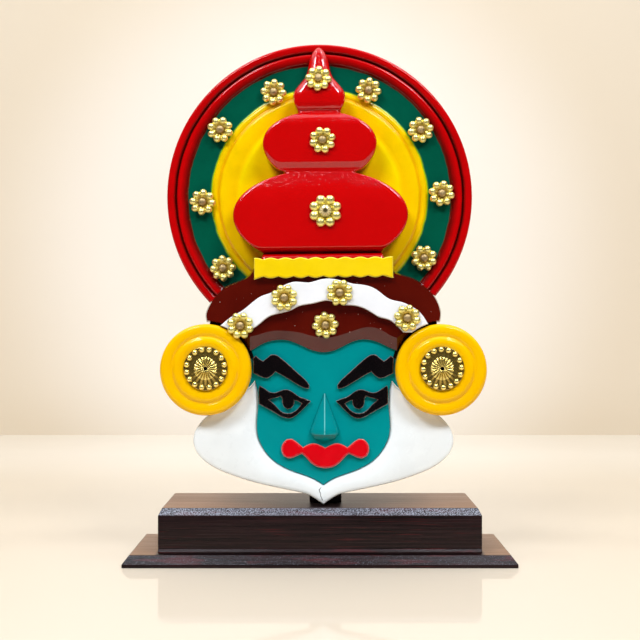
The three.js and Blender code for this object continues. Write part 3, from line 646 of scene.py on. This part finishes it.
def outlined(work, name):
    """The board with smooth curves through its edge's points; only true corners stay sharp."""
    levels = (min(v.co.y for v in work.verts), max(v.co.y for v in work.verts))
    faces = [f for f in work.faces if all(any(level_with(v, y) for y in levels) for v in f.verts)]
    faces = [f for f in faces if abs(f.normal.y) > 0.999]
    bmesh.ops.delete(work, geom=faces, context="FACES")
    crease = work.edges.layers.float.new("crease_edge")
    corners = set()
    for edge in work.edges:
        along = level_with(edge.verts[0], edge.verts[1].co.y)
        sharp = len(edge.link_faces) == 2 and edge.calc_face_angle(0.0) > SMOOTH_TURN
        edge[crease] = 1.0 if along or sharp else 0.0
        if sharp and not along:
            corners.update(edge.verts)
    moves = {}
    for vertex in work.verts:
        beside = ring_neighbours(vertex)
        if len(beside) == 2 and vertex not in corners:
            moves[vertex] = (vertex.co * 2 - beside[0].co - beside[1].co) / 6
    for vertex, move in moves.items():
        vertex.co += move
    rough = bpy.data.meshes.new(name + "_rough")
    work.to_mesh(rough)
    work.free()
    carrier = placed(name + "_carrier", rough)
    curve = carrier.modifiers.new("curve", "SUBSURF")
    curve.levels = CURVE_LEVELS
    smooth = bpy.data.meshes.new_from_object(carrier.evaluated_get(bpy.context.evaluated_depsgraph_get()))
    bpy.data.objects.remove(carrier)
    work = bmesh.new()
    work.from_mesh(smooth)
    for level in levels:
        rim = [e for e in work.edges if e.is_boundary and level_with(e.verts[0], level)]
        bmesh.ops.triangle_fill(work, edges=rim, use_beauty=True)
    bmesh.ops.recalc_face_normals(work, faces=work.faces)
    return work


def board_mesh(work, node, material):
    mesh = bpy.data.meshes.new(node + "_mesh")
    work.to_mesh(mesh)
    work.free()
    mesh.materials.clear()
    mesh.materials.append(material)
    return mesh


BOARD_TURN = 28.0


def dressed(node, material, degrees=BOARD_TURN):
    """A board of the mask: the node's shape with smooth curves, sharp arrises and a painted back."""
    mesh = board_mesh(outlined(welded_copy(node), node), node, material)
    paint_backs(mesh)
    smooth_by_angle(mesh, degrees)
    return new_piece(node, mesh)


def eased(node, material, ease):
    """A block of the stand: the node's shape with its arrises eased into a narrow round."""
    work = welded_copy(node)
    sharp = [e for e in work.edges if e.calc_face_angle(0.0) > EASED_TURN]
    bmesh.ops.bevel(
        work, geom=sharp, offset=ease * MM, offset_type="OFFSET", segments=3, profile=0.5,
        affect="EDGES", clamp_overlap=True,
    )
    mesh = board_mesh(work, node, material)
    smooth_by_angle(mesh, 40.0)
    return new_piece(node, mesh)


# Stand: how far the arrises of each board are eased

STAND_EASES = {"stand_plate": 0.25, "stand_block": 0.3, "support_post": 0.4}

for node, ease in STAND_EASES.items():
    eased(node, WOOD, ease)

# Halo: the turned disc with its rings, by distance from the middle and drop below the crest

HALO_RINGS = [
    (0, 0), (38.0, 0), (40.6, 0.5), (42.4, 0.25), (44.5, 0.1), (47.4, 0.15), (48.2, 0.5), (48.9, 1.1),
    (49.3, 1.25), (49.9, 1.0), (51.3, 1.0), (52.3, 2.0), (63.5, 2.0), (64.0, 1.7), (64.4, 1.2), (65.2, 0.8),
    (66.3, 0.4), (67.3, 0.1), (68.2, 0.1), (68.9, 0.5), (69.3, 1.3), (69.55, 2.1), (69.8, 1.3), (70.2, 0.5),
    (70.9, 0.2), (71.8, 0.05), (72.6, 0.0), (73.3, 0.2), (73.9, 0.9), (HALO_RADIUS, 3.0),
]
halo_profile = [(radius, HALO_CREST + drop) for radius, drop in HALO_RINGS]
halo_profile += [(HALO_RADIUS - 0.8, HALO_BACK), (0, HALO_BACK)]
halo_points, halo_faces = turned(rounded(halo_profile, 0.9, 4), 176, HALO_CENTRE)
halo_mesh = mesh_from("halo_mesh", halo_points, halo_faces, HALO, 50.0)
paint_backs(halo_mesh)
new_piece("halo_disc", halo_mesh)

# Crown: stacked pillow-shaped lobes and a finial, cut from one thick board with rounded front arrises

CROWN_TILT = math.radians(-0.65)
CROWN_FOOT = (0.9, 143.5)
CROWN_CREST = 0.4
LOBE_SHIFT = -0.4
LOBE_BULGE = 0.8
LOBE_CORNER = 2.4
ARRIS = 0.8
FLANK_CURVE = 0.6
MIDDLE_LOBE = {
    "centre": 56.8, "half": 27.2, "above": 15.7, "below": 18.4, "bottom": 44.8, "neck_half": 10.4,
    "depth": 11.5, "bevel": 3.3, "tilt": 0.53, "flank_top": 54.6, "neck_depth": 8.7, "slope": 7.0,
    "slope_curve": 3, "steps": 60, "bevel_steps": 9,
}
BOTTOM_LOBE = {
    "centre": 22.7, "half": 41.7, "above": 21.8, "below": 24.1, "bottom": 6.1, "neck_half": 17.1,
    "depth": 12.0, "bevel": 0.9, "tilt": 1.2, "flank_top": 20.0, "neck_depth": 9.6, "slope": 16.0,
    "slope_curve": 2, "steps": 56, "bevel_steps": 5,
}
NO_BEVEL = (0.0, 0.0, 1.0, 0.0)


def flank_bevel(height, bottom, flank_top, width, lean, tilt):
    """The bevel at one level: its width there, the height above its foot, the flank's lean and the tilt."""
    low = max(0.0, (flank_top - height) / (flank_top - bottom))
    return (width * low ** FLANK_CURVE, height - bottom, lean, tilt)


def lobe_stations(lobe):
    """Levels of a lobe: a bevel on its underside and flanks, the face, and a slope into the neck."""
    def angle_at(height):
        return math.asin((height - lobe["centre"]) / lobe["below"])

    lowest = angle_at(lobe["bottom"] + lobe["bevel"])
    highest = math.acos(lobe["neck_half"] / lobe["half"])
    top = lobe["centre"] + lobe["above"] * math.sin(highest)
    low_steps, steps = lobe["bevel_steps"], lobe["steps"]
    angles = [angle_at(lobe["bottom"] + lobe["bevel"] * i / low_steps) for i in range(low_steps)]
    angles += [lowest + (highest - lowest) * i / steps for i in range(steps + 1)]
    stations = []
    for angle in angles:
        reach = lobe["above"] if angle > 0 else lobe["below"]
        height = lobe["centre"] + reach * math.sin(angle)
        near_neck = max(0.0, 1 - (top - height) / lobe["slope"]) ** lobe["slope_curve"]
        face = lobe["depth"] + LOBE_BULGE * (math.cos(angle) - 1)
        thick = lobe["neck_depth"] + (face - lobe["neck_depth"]) * (1 - near_neck)
        steepness = lobe["half"] * math.tan(angle) / reach
        lean = 1 / math.hypot(1, steepness)
        bevel = flank_bevel(height, lobe["bottom"], lobe["flank_top"], lobe["bevel"], lean, lobe["tilt"])
        corner = LOBE_CORNER + (ARRIS - LOBE_CORNER) * bevel[0] / lobe["bevel"]
        stations.append((height, lobe["half"] * math.cos(angle), thick, corner, LOBE_SHIFT, bevel))
    return stations


# Levels below, between and above the lobes: height, half width, depth and corner radius

FOOT_STATIONS = [
    (0, 29.4, 11.2, 1.5), (1.6, 29.2, 10.9, 1.5), (2.4, 29.1, 10.6, 1.5), (3.1, 28.9, 10.2, 1.5),
    (3.6, 28.8, 9.6, 1.5), (4.0, 28.6, 8.6, 1.3), (4.3, 28.4, 7.0, 1.0), (4.5, 28.3, 5.6, 1.0),
]
FOOT_SHIFT = 0.4
NECK_STATIONS = [
    (42.9, 17.2, 9.4, 1.8), (43.3, 17.4, 9.3, 1.6), (43.7, 18.2, 9.4, 1.4), (44.2, 19.4, 9.6, 1.0),
]
UPPER_NECK_STATIONS = [(72.1, 10.35, 8.5, 1.4), (72.6, 10.4, 8.5, 1.4), (73.0, 10.55, 9.1, 1.2)]
FINIAL_STATIONS = [
    (73.4, 10.7, 10.4, 0.8), (74, 11, 10.45, 0.9), (74.6, 11.35, 10.5, 1), (75.2, 11.65, 10.5, 1.2),
    (75.8, 11.88, 10.5, 1.5), (76.4, 12.07, 10.55, 1.9), (77, 12.2, 10.55, 2.4), (78, 12.35, 10.6, 3.2),
    (79.6, 12.5, 10.6, 4), (81.2, 12.25, 10.4, 4.2), (82.4, 11.7, 10.1, 4.2), (84.3, 10.3, 9.8, 4.2),
    (85.9, 9, 9.5, 4.2), (87.2, 7.9, 9.3, 4.2), (88.4, 6.9, 9, 4.2), (90.2, 6.1, 8.5, 4),
    (92.3, 5.4, 7.8, 3.8), (95.5, 4.9, 6.9, 3.6), (98.2, 4.3, 6.3, 3.3), (100.6, 3.3, 5.4, 2.6),
    (102.3, 2, 4.6, 1.7), (103.2, 0.8, 3.8, 0.7),
]
FINIAL_BEVEL = {"bottom": 73.4, "flank_top": 79.0, "width": 3.2, "lean": 0.9, "tilt": 0.25}
CROWN_COLUMNS = 60
BEVEL_BLEND = 1.5


def smooth_least(first, second):
    """The lesser of two lengths, with a soft change from the one to the other."""
    share = min(1.0, max(0.0, 0.5 + 0.5 * (second - first) / BEVEL_BLEND))
    return second + (first - second) * share - BEVEL_BLEND * share * (1 - share)


def crown_section(height, half, thick, corner, shift, bevel):
    """One level: a flat back, straight sides and a slightly crowned front with round corners and a bevel."""
    width, rise, lean, tilt = bevel
    radius = min(corner, half * 0.85, thick * 0.75)
    outline = [(half, 0.0)]
    for i in range(CROWN_COLUMNS + 1):
        share = math.sin(math.pi / 2 * (1 - 2 * i / CROWN_COLUMNS))
        inward = half * (1 - abs(share))
        depth = thick - CROWN_CREST * share ** 2
        if inward < radius:
            depth -= radius - math.sqrt(radius ** 2 - (radius - inward) ** 2)
        depth -= tilt * max(0.0, width - smooth_least(inward * lean, rise))
        outline.append((half * share, depth))
    outline.append((-half, 0.0))
    return [(x + shift, -y, height) for x, y in outline]


stations = [(*station, FOOT_SHIFT, NO_BEVEL) for station in FOOT_STATIONS]
stations += lobe_stations(BOTTOM_LOBE)
stations += [(*station, LOBE_SHIFT, NO_BEVEL) for station in NECK_STATIONS]
stations += lobe_stations(MIDDLE_LOBE)
stations += [(*station, LOBE_SHIFT, NO_BEVEL) for station in UPPER_NECK_STATIONS]
stations += [(*station, LOBE_SHIFT, flank_bevel(station[0], **FINIAL_BEVEL)) for station in FINIAL_STATIONS]
crown_points, crown_faces = lofted([crown_section(*station) for station in stations])
crown_mesh = mesh_from("crown_mesh", crown_points, crown_faces, RED, 60.0)
paint_backs(crown_mesh)
crown_place = Matrix.Translation(Vector((CROWN_FOOT[0], MASK_BACK, CROWN_FOOT[1])) * MM)
crown_place = crown_place @ Matrix.Rotation(CROWN_TILT, 4, "Y")
new_piece("crown", crown_mesh, crown_place)

# Boards of the face and the hair

dressed("hair_board", MAROON, 14.0)
dressed("headband", BAND_WHITE)
dressed("scalloped_strip", STRIP_YELLOW)
dressed("face_board", TEAL)
dressed("lips", LIP_RED)
for side in ("left", "right"):
    dressed("brow_" + side, BLACK)
    dressed("eye_" + side, BLACK)

# Nose: a wedge with straight edges, its flanks curling down to them, and a small face under its front edge

NOSE_BACK = -20.2
NOSE_TOP = 80.9
NOSE_WIDEST = 63.4
NOSE_STEPS = 12

# Half width and depth of the nose at its top, and what each gains with every millimetre below it

NOSE_TIP = (0.45, 0.35)
NOSE_GROWTH = (0.372, 0.295)

# Height, half width and depth of the levels from the foot up to the widest one

NOSE_FOOT = [
    (58.7, 3.2, 0.6), (59.0, 4.4, 1.1), (59.6, 5.4, 2.1), (60.3, 6.0, 3.3), (61.0, 6.4, 4.5),
    (61.45, 6.6, 5.3), (61.6, 6.75, 5.5), (61.8, 6.9, 5.55), (62.2, 7.0, 5.55), (62.8, 7.03, 5.45),
]

# Share of the half width and of the depth, from an edge up to the ridge

NOSE_FLANK = [
    (1.0, 0.0), (0.985, 0.16), (0.94, 0.32), (0.86, 0.46), (0.76, 0.56), (0.6, 0.67), (0.4, 0.79),
    (0.2, 0.9), (0.05, 0.985), (0.0, 1.0),
]


def nose_section(height, half, depth):
    """One level of the nose, from its one edge over the ridge to the other."""
    flank = [(half * across, depth * rise) for across, rise in NOSE_FLANK]
    outline = flank + [(-x, y) for x, y in reversed(flank[:-1])]
    return [(NOSE_X + x, NOSE_BACK - y, height) for x, y in outline]


nose_levels = list(NOSE_FOOT)
for i in range(NOSE_STEPS + 1):
    below_top = (NOSE_TOP - NOSE_WIDEST) * (1 - i / NOSE_STEPS)
    half, depth = (start + growth * below_top for start, growth in zip(NOSE_TIP, NOSE_GROWTH))
    nose_levels.append((NOSE_TOP - below_top, half, depth))
nose_points, nose_faces = lofted([nose_section(*level) for level in nose_levels])
nose_mesh = mesh_from("nose_mesh", nose_points, nose_faces, NOSE_TEAL, 26.0)
new_piece("nose", nose_mesh)

# White wings with the hairline crack at the chin

CRACK = [(0.8, 36.5), (-0.4, 35.2), (-0.1, 34.1), (0.3, 33.4), (0.3, 32.2), (0.95, 30.7), (1.2, 30.2)]
CRACK_WIDTHS = (0.1, 0.42, 0.34, 0.26, 0.3, 0.36, 0.5)
CRACK_DEPTH = 1.6


def crack_cutter():
    """A thin wedge along the crack, wide at the board's face and closing inside it."""
    sections = []
    for i, ((x, z), width) in enumerate(zip(CRACK, CRACK_WIDTHS)):
        before, after = Vector(CRACK[max(i - 1, 0)]), Vector(CRACK[min(i + 1, len(CRACK) - 1)])
        across = Vector(((after - before).y, -(after - before).x)).normalized() * (width / 2)
        sections.append([
            (x - across.x, WING_FRONT - 1, z - across.y), (x + across.x, WING_FRONT - 1, z + across.y),
            (x + across.x, WING_FRONT, z + across.y), (x, WING_FRONT + CRACK_DEPTH, z),
            (x - across.x, WING_FRONT, z - across.y),
        ])
    points, faces = lofted(sections)
    return placed("cutter", mesh_from("cutter_mesh", points, faces, CRACK_SHADE, 30.0))


wings = dressed("chin_wings", WHITE)
wings.data.materials.append(CRACK_SHADE)
cutter = crack_cutter()
carve = wings.modifiers.new("crack", "BOOLEAN")
carve.object = cutter
carve.operation = "DIFFERENCE"
carve.solver = "EXACT"
carve.material_mode = "TRANSFER"
carved = bpy.data.meshes.new_from_object(wings.evaluated_get(bpy.context.evaluated_depsgraph_get()))
wings.modifiers.clear()
wings.data = carved
bpy.data.objects.remove(cutter)
smooth_by_angle(wings.data, BOARD_TURN)

# Ear discs and their rosettes

EAR_RINGS = [
    (0, 0.4), (9.6, 0.4), (10.3, 0.1), (11.4, -0.3), (13.2, -0.6), (14.6, -0.35), (15.4, 0.35), (15.9, 0.65),
    (16.8, 0.2), (18.2, 0.0), (19.8, 0.05), (20.9, 0.55), (EAR_RADIUS, 2.0),
]
BEAD_COUNT = 16
ROSETTE_SHIFT = (0.2, 0.7)


def dome(centre, reach_out, reach_across, angle, base, height, segments, levels):
    """Half an ellipsoid that stands out towards -Y, its long side at the angle."""
    points, hollow = [], []
    out = (math.sin(angle), math.cos(angle))
    across = (math.cos(angle), -math.sin(angle))
    for level in range(levels):
        rise = math.pi / 2 * level / levels
        for i in range(segments):
            turn = 2 * math.pi * i / segments
            u = reach_out * math.cos(turn) * math.cos(rise)
            v = reach_across * math.sin(turn) * math.cos(rise)
            points.append((
                centre[0] + out[0] * u + across[0] * v, base - height * math.sin(rise),
                centre[1] + out[1] * u + across[1] * v,
            ))
            hollow.append(0.6 * (1 - math.sin(rise)) ** 3)
    points.append((centre[0], base - height, centre[1]))
    hollow.append(0.0)
    faces = bands(levels, segments)
    top = (levels - 1) * segments
    for i in range(segments):
        faces.append((top + i, top + (i + 1) % segments, len(points) - 1))
    return points, faces, hollow


def waved(rings, segments):
    """A round sheet through rings, whose radius, depth and hollow share may change with the angle."""
    points, hollow = [], []
    for radius, depth, share in rings:
        for i in range(segments):
            angle = 2 * math.pi * i / segments
            reach = radius(angle) if callable(radius) else radius
            points.append((
                reach * math.sin(angle), depth(angle) if callable(depth) else depth, reach * math.cos(angle),
            ))
            hollow.append(share(angle) if callable(share) else share)
    return points, bands(len(rings), segments), hollow


def joined(parts):
    points, faces, hollow = [], [], []
    for more_points, more_faces, more_hollow in parts:
        start = len(points)
        points += more_points
        faces += [tuple(start + i for i in face) for face in more_faces]
        hollow += more_hollow
    return points, faces, hollow


BEAD_RADIUS = 1.35
BEAD_RING = 8.95
FLUTES = 20
FLUTE_STEPS = 8
RIGHT_ROSETTE_TURN = math.radians(8)


def rosette_parts():
    """A stamped rosette: round beads on a flat polished sheet, with a fluted middle and a small hole, a
    shallow recess painted near black as its shade.
    """
    def flute(base, swing):
        return lambda angle: base - swing * math.cos(FLUTES / 2 * angle) ** 2

    def valley(angle):
        return 0.9 * (1 - abs(math.cos(FLUTES / 2 * angle))) ** 0.7

    sheet = waved([
        (10.35, 0.0, 0.9), (10.35, -0.3, 0.9), (10.2, -0.45, 0.8), (10.0, -0.45, 0.8), (5.5, -0.45, 0.8),
        (5.35, flute(-0.45, 0.1), valley), (5.0, flute(-0.5, 0.45), valley), (4.2, flute(-0.6, 0.6), valley),
        (3.2, flute(-0.75, 0.6), valley), (2.2, flute(-0.95, 0.45), valley), (1.4, flute(-1.1, 0.25), valley),
        (1.0, -1.2, 0.5), (0.85, -1.1, 1.0), (0.8, -0.3, 1.0), (0.05, -0.3, 1.0),
    ], FLUTES * FLUTE_STEPS)
    parts = [sheet]
    for i in range(BEAD_COUNT):
        angle = 2 * math.pi * (i + 0.5) / BEAD_COUNT
        place = (BEAD_RING * math.sin(angle), BEAD_RING * math.cos(angle))
        parts.append(dome(place, BEAD_RADIUS, BEAD_RADIUS, angle, -0.4, 1.25, 18, 7))
    return parts


for side, centre in EAR_CENTRES.items():
    ear_profile = [(radius, EAR_FRONT + drop) for radius, drop in EAR_RINGS]
    ear_profile += [(EAR_RADIUS, EAR_BACK - 0.4), (EAR_RADIUS - 0.4, EAR_BACK), (0, EAR_BACK)]
    points, faces = turned(rounded(ear_profile, 0.7, 4), 112, centre)
    ear_mesh = mesh_from("ear_mesh_" + side, points, faces, EAR_YELLOW, 50.0)
    paint_backs(ear_mesh)
    new_piece("ear_disc_" + side, ear_mesh)
    points, faces, hollow = joined(rosette_parts())
    rosette_mesh = mesh_from("rosette_mesh_" + side, points, faces, ROSETTE_GOLD, 60.0, hollow)
    rosette_place = Matrix.Translation(Vector((
        centre[0] + ROSETTE_SHIFT[0], EAR_FRONT - GLUE_GAP, centre[1] + ROSETTE_SHIFT[1],
    )) * MM)
    if side == "right":
        rosette_place = rosette_place @ Matrix.Rotation(RIGHT_ROSETTE_TURN, 4, "Y")
    new_piece("rosette_" + side, rosette_mesh, rosette_place)

# Stamped flowers, their nails and the one stone

FLOWER_RADIUS = 6.3
LARGE_FLOWER_RADIUS = 7.8
FLOWER_HEIGHT = 2.0
PETALS = 8
NAIL_RADIUS = 1.85
STONE_RADIUS = 3.0


def flower_parts(radius):
    """Eight round beads that touch, on a lobed sheet that dips to a dish in the middle."""
    touch = math.sin(math.pi / PETALS)
    bead = radius * touch / (1 + touch)
    ring = radius - bead

    def lobed(reach, swing):
        return lambda angle: reach * (1 + swing * math.cos(PETALS * angle))

    def ridged(base, swing):
        return lambda angle: base - swing * math.cos(PETALS * angle)

    sheet = waved([
        (lobed(radius * 0.86, 0.07), 0.0, 0.9), (lobed(radius * 0.86, 0.07), -0.3, 0.9),
        (lobed(radius * 0.78, 0.05), -0.5, 0.85), (ring * 0.85, ridged(-0.95, 0.1), 0.7),
        (ring * 0.72, ridged(-1.0, 0.12), 0.5), (ring * 0.6, ridged(-0.8, 0.12), 0.6),
        (ring * 0.48, ridged(-0.5, 0.05), 0.8), (ring * 0.4, -0.35, 0.9), (radius * 0.1, -0.3, 0.9),
    ], PETALS * 8)
    parts = [sheet]
    for i in range(PETALS):
        angle = 2 * math.pi * i / PETALS
        place = (ring * math.sin(angle), ring * math.cos(angle))
        parts.append(dome(place, bead * 1.06, bead * 1.03, angle, -0.3, FLOWER_HEIGHT - 0.3, 24, 9))
    return parts


def nail_mesh(name):
    """A low round head with a flattened, slightly faceted top."""
    profile = [
        (0, -1.86), (0.5, -1.86), (1.2, -1.68), (1.65, -1.3), (NAIL_RADIUS, -0.85), (NAIL_RADIUS, -0.2),
        (0, -0.2),
    ]
    points, faces = turned(profile, 20)
    return mesh_from(name, points, faces, NAIL, 26.0)


def stone_mesh(name):
    """A cut stone: a flat table, two rows of triangular facets and a narrow metal seat."""
    count = 8
    inner, middle, outer = 1, 1 + count, 1 + 2 * count
    points = [(0, -2.82, 0)]
    points += circle(1.2, -2.85, count)
    points += circle(2.1, -2.35, count, shift=0.5)
    points += circle(2.75, -1.7, count)
    faces = []
    for i in range(count):
        j = (i + 1) % count
        faces += [
            (0, inner + i, inner + j), (inner + i, middle + i, inner + j),
            (inner + j, middle + i, middle + j), (outer + j, middle + j, middle + i),
            (outer + i, outer + j, middle + i),
        ]
    seat_profile = [(2.5, -1.5), (2.7, -1.8), (2.9, -1.8), (STONE_RADIUS, -1.5), (STONE_RADIUS, -0.3)]
    seat_points, seat_faces = turned(seat_profile, 32)
    start = len(points)
    points += seat_points
    mesh = mesh_from(name, points, faces + [tuple(start + k for k in f) for f in seat_faces], STONE, 8.0)
    mesh.materials.append(GOLD)
    for face in mesh.polygons[len(faces):]:
        face.material_index = 1
    return mesh


# Planes that the flowers lie on

RING_PLANE = MASK_BACK
BAND_PLANE = BAND_FRONT - GLUE_GAP
FOREHEAD_PLANE = HAIR_FRONT - GLUE_GAP
FINIAL_PLANE = MASK_BACK - 9.7
MIDDLE_PLANE = MASK_BACK - 11.9
BOTTOM_PLANE = MASK_BACK - 12.4
FINIAL_LEAN = math.radians(-14)

# Flowers: name, x, z, plane, and the first bead's turn in degrees, anticlockwise from the front

FLOWERS = [
    ("halo_top_left", -22.5, 226.1, RING_PLANE, 40),
    ("halo_top_right", 23.4, 226.9, RING_PLANE, 39),
    ("halo_upper_left", -48.3, 207.9, RING_PLANE, 27),
    ("halo_upper_right", 48.7, 207.8, RING_PLANE, 11.5),
    ("halo_middle_left", -56.8, 172.9, RING_PLANE, 40),
    ("halo_middle_right", 58.8, 177.1, RING_PLANE, 33),
    ("halo_lower_left", -46.9, 140.9, RING_PLANE, 5),
    ("halo_lower_right", 50.2, 145.8, RING_PLANE, 24),
    ("finial", -0.8, 230.6, FINIAL_PLANE, 40),
    ("crown_middle", 1.1, 201.1, MIDDLE_PLANE, 17),
    ("crown_bottom", *STONE_CENTRE, BOTTOM_PLANE, 22.5),
    ("band_outer_left", -37.4, 113.2, BAND_PLANE, 25),
    ("band_inner_left", -16.8, 126.3, BAND_PLANE, 22),
    ("band_inner_right", 9.2, 128.7, BAND_PLANE, 22),
    ("band_outer_right", 40.9, 116.8, BAND_PLANE, 32),
    ("forehead", 2.5, 113.5, FOREHEAD_PLANE, 6),
]

for name, x, z, plane, turn in FLOWERS:
    large = name == "crown_bottom"
    lean = FINIAL_LEAN if name == "finial" else 0.0
    place = Matrix.Translation(Vector((x, plane, z)) * MM)
    place = place @ Matrix.Rotation(lean, 4, "X") @ Matrix.Rotation(math.radians(-turn), 4, "Y")
    points, faces, hollow = joined(flower_parts(LARGE_FLOWER_RADIUS if large else FLOWER_RADIUS))
    flower = mesh_from("flower_mesh_" + name, points, faces, GOLD, 60.0, hollow)
    new_piece("flower_" + name, flower, place)
    seat = place @ Matrix.Translation(Vector((0, -FLOWER_HEIGHT * 0.3 - GLUE_GAP, 0)) * MM)
    if large:
        new_piece("rhinestone", stone_mesh("stone_mesh"), seat)
    else:
        new_piece("nail_" + name, nail_mesh("nail_mesh_" + name), seat)

# Floor, backdrop, lights and camera

FLOOR_BACK = 0.635
FLOOR_SIDE = 1.4
FLOOR_FRONT = -0.32
WALL_TOP = 2.0
LAMP_TONE = (0.88, 0.93, 1.0)
ROOM_TONE = (1.0, 0.97, 0.92, 1.0)
ROOM_STRENGTH = 0.045


def staged(name, near_y, far_y, far_z, material):
    """A plain sheet of the stage, from a line on the floor to its other edge."""
    mesh = bpy.data.meshes.new(name + "_mesh")
    near = [(-FLOOR_SIDE, near_y, 0), (FLOOR_SIDE, near_y, 0)]
    far = [(FLOOR_SIDE, far_y, far_z), (-FLOOR_SIDE, far_y, far_z)]
    mesh.from_pydata(near + far, [], [(0, 1, 2, 3)])
    mesh.materials.append(material)
    placed(name, mesh)


# The third tone of each is its painted shade
FLOOR_TONES = (colour(239, 229, 213), colour(236, 225, 209), colour(217, 202, 181))
WALL_TONES = (colour(241, 231, 217), colour(238, 227, 213), colour(221, 204, 179))

staged("floor", FLOOR_FRONT, FLOOR_BACK, 0.0, surface("floor", *FLOOR_TONES, floor_painted_shade, 0.03, 0.006, 0.01))
staged("wall", FLOOR_BACK, FLOOR_BACK, WALL_TOP, surface("wall", *WALL_TONES, wall_painted_shade, 0.7, 0.003, 0.05))


def softbox(name, place, aim, width, height, power):
    lamp = bpy.data.lights.new(name, "AREA")
    lamp.shape = "RECTANGLE"
    lamp.size, lamp.size_y = width, height
    lamp.energy = power
    lamp.color = LAMP_TONE
    made = placed(name, lamp)
    made.location = place
    made.rotation_euler = (Vector(aim) - Vector(place)).to_track_quat("-Z", "Y").to_euler()


# Two soft key lamps, two small ones for crisp glints, one wide lamp above and one for the backdrop

MIDDLE = (0.0, 0.0, 0.13)
softbox("key_left", (-0.55, -0.95, 1.15), MIDDLE, 0.5, 0.28, 12.8)
softbox("key_right", (0.6, -0.95, 1.12), MIDDLE, 0.5, 0.28, 12.0)
softbox("spark_left", (-0.42, -0.25, 1.15), MIDDLE, 0.2, 0.08, 2.0)
softbox("spark_right", (0.46, -0.25, 1.15), MIDDLE, 0.2, 0.08, 2.0)
softbox("above", (0.0, -0.02, 1.25), (0.0, -0.019, 0.0), 2.6, 1.2, 13.6)
softbox("wall_light", (0.0, 0.1, 0.9), (0.0, 0.6, 0.25), 1.0, 0.3, 1.0)

world = bpy.data.worlds.new("studio")
bpy.context.scene.world = world
world.use_nodes = True

# The room is dim for the gloss paint to mirror, and pale where the camera sees past the stage

sky = world.node_tree
room = sky.nodes["Background"]
room.inputs["Color"].default_value = ROOM_TONE
room.inputs["Strength"].default_value = ROOM_STRENGTH
pale = sky.nodes.new("ShaderNodeBackground")
pale.inputs["Color"].default_value = colour(250, 236, 214)
seen = sky.nodes.new("ShaderNodeMixShader")
sky.links.new(sky.nodes.new("ShaderNodeLightPath").outputs["Is Camera Ray"], seen.inputs[0])
sky.links.new(room.outputs[0], seen.inputs[1])
sky.links.new(pale.outputs[0], seen.inputs[2])
sky.links.new(seen.outputs[0], sky.nodes["World Output"].inputs["Surface"])

camera_data = bpy.data.cameras.new("camera")
camera_data.lens = CAMERA_LENS
camera_data.sensor_width = CAMERA_SENSOR
camera_data.clip_start = 0.01
camera = placed("camera", camera_data)
camera.location = CAMERA_PLACE
camera.rotation_euler = (math.radians(CAMERA_PITCH), 0, 0)
bpy.context.scene.camera = camera
bpy.context.scene.view_settings.view_transform = "Standard"
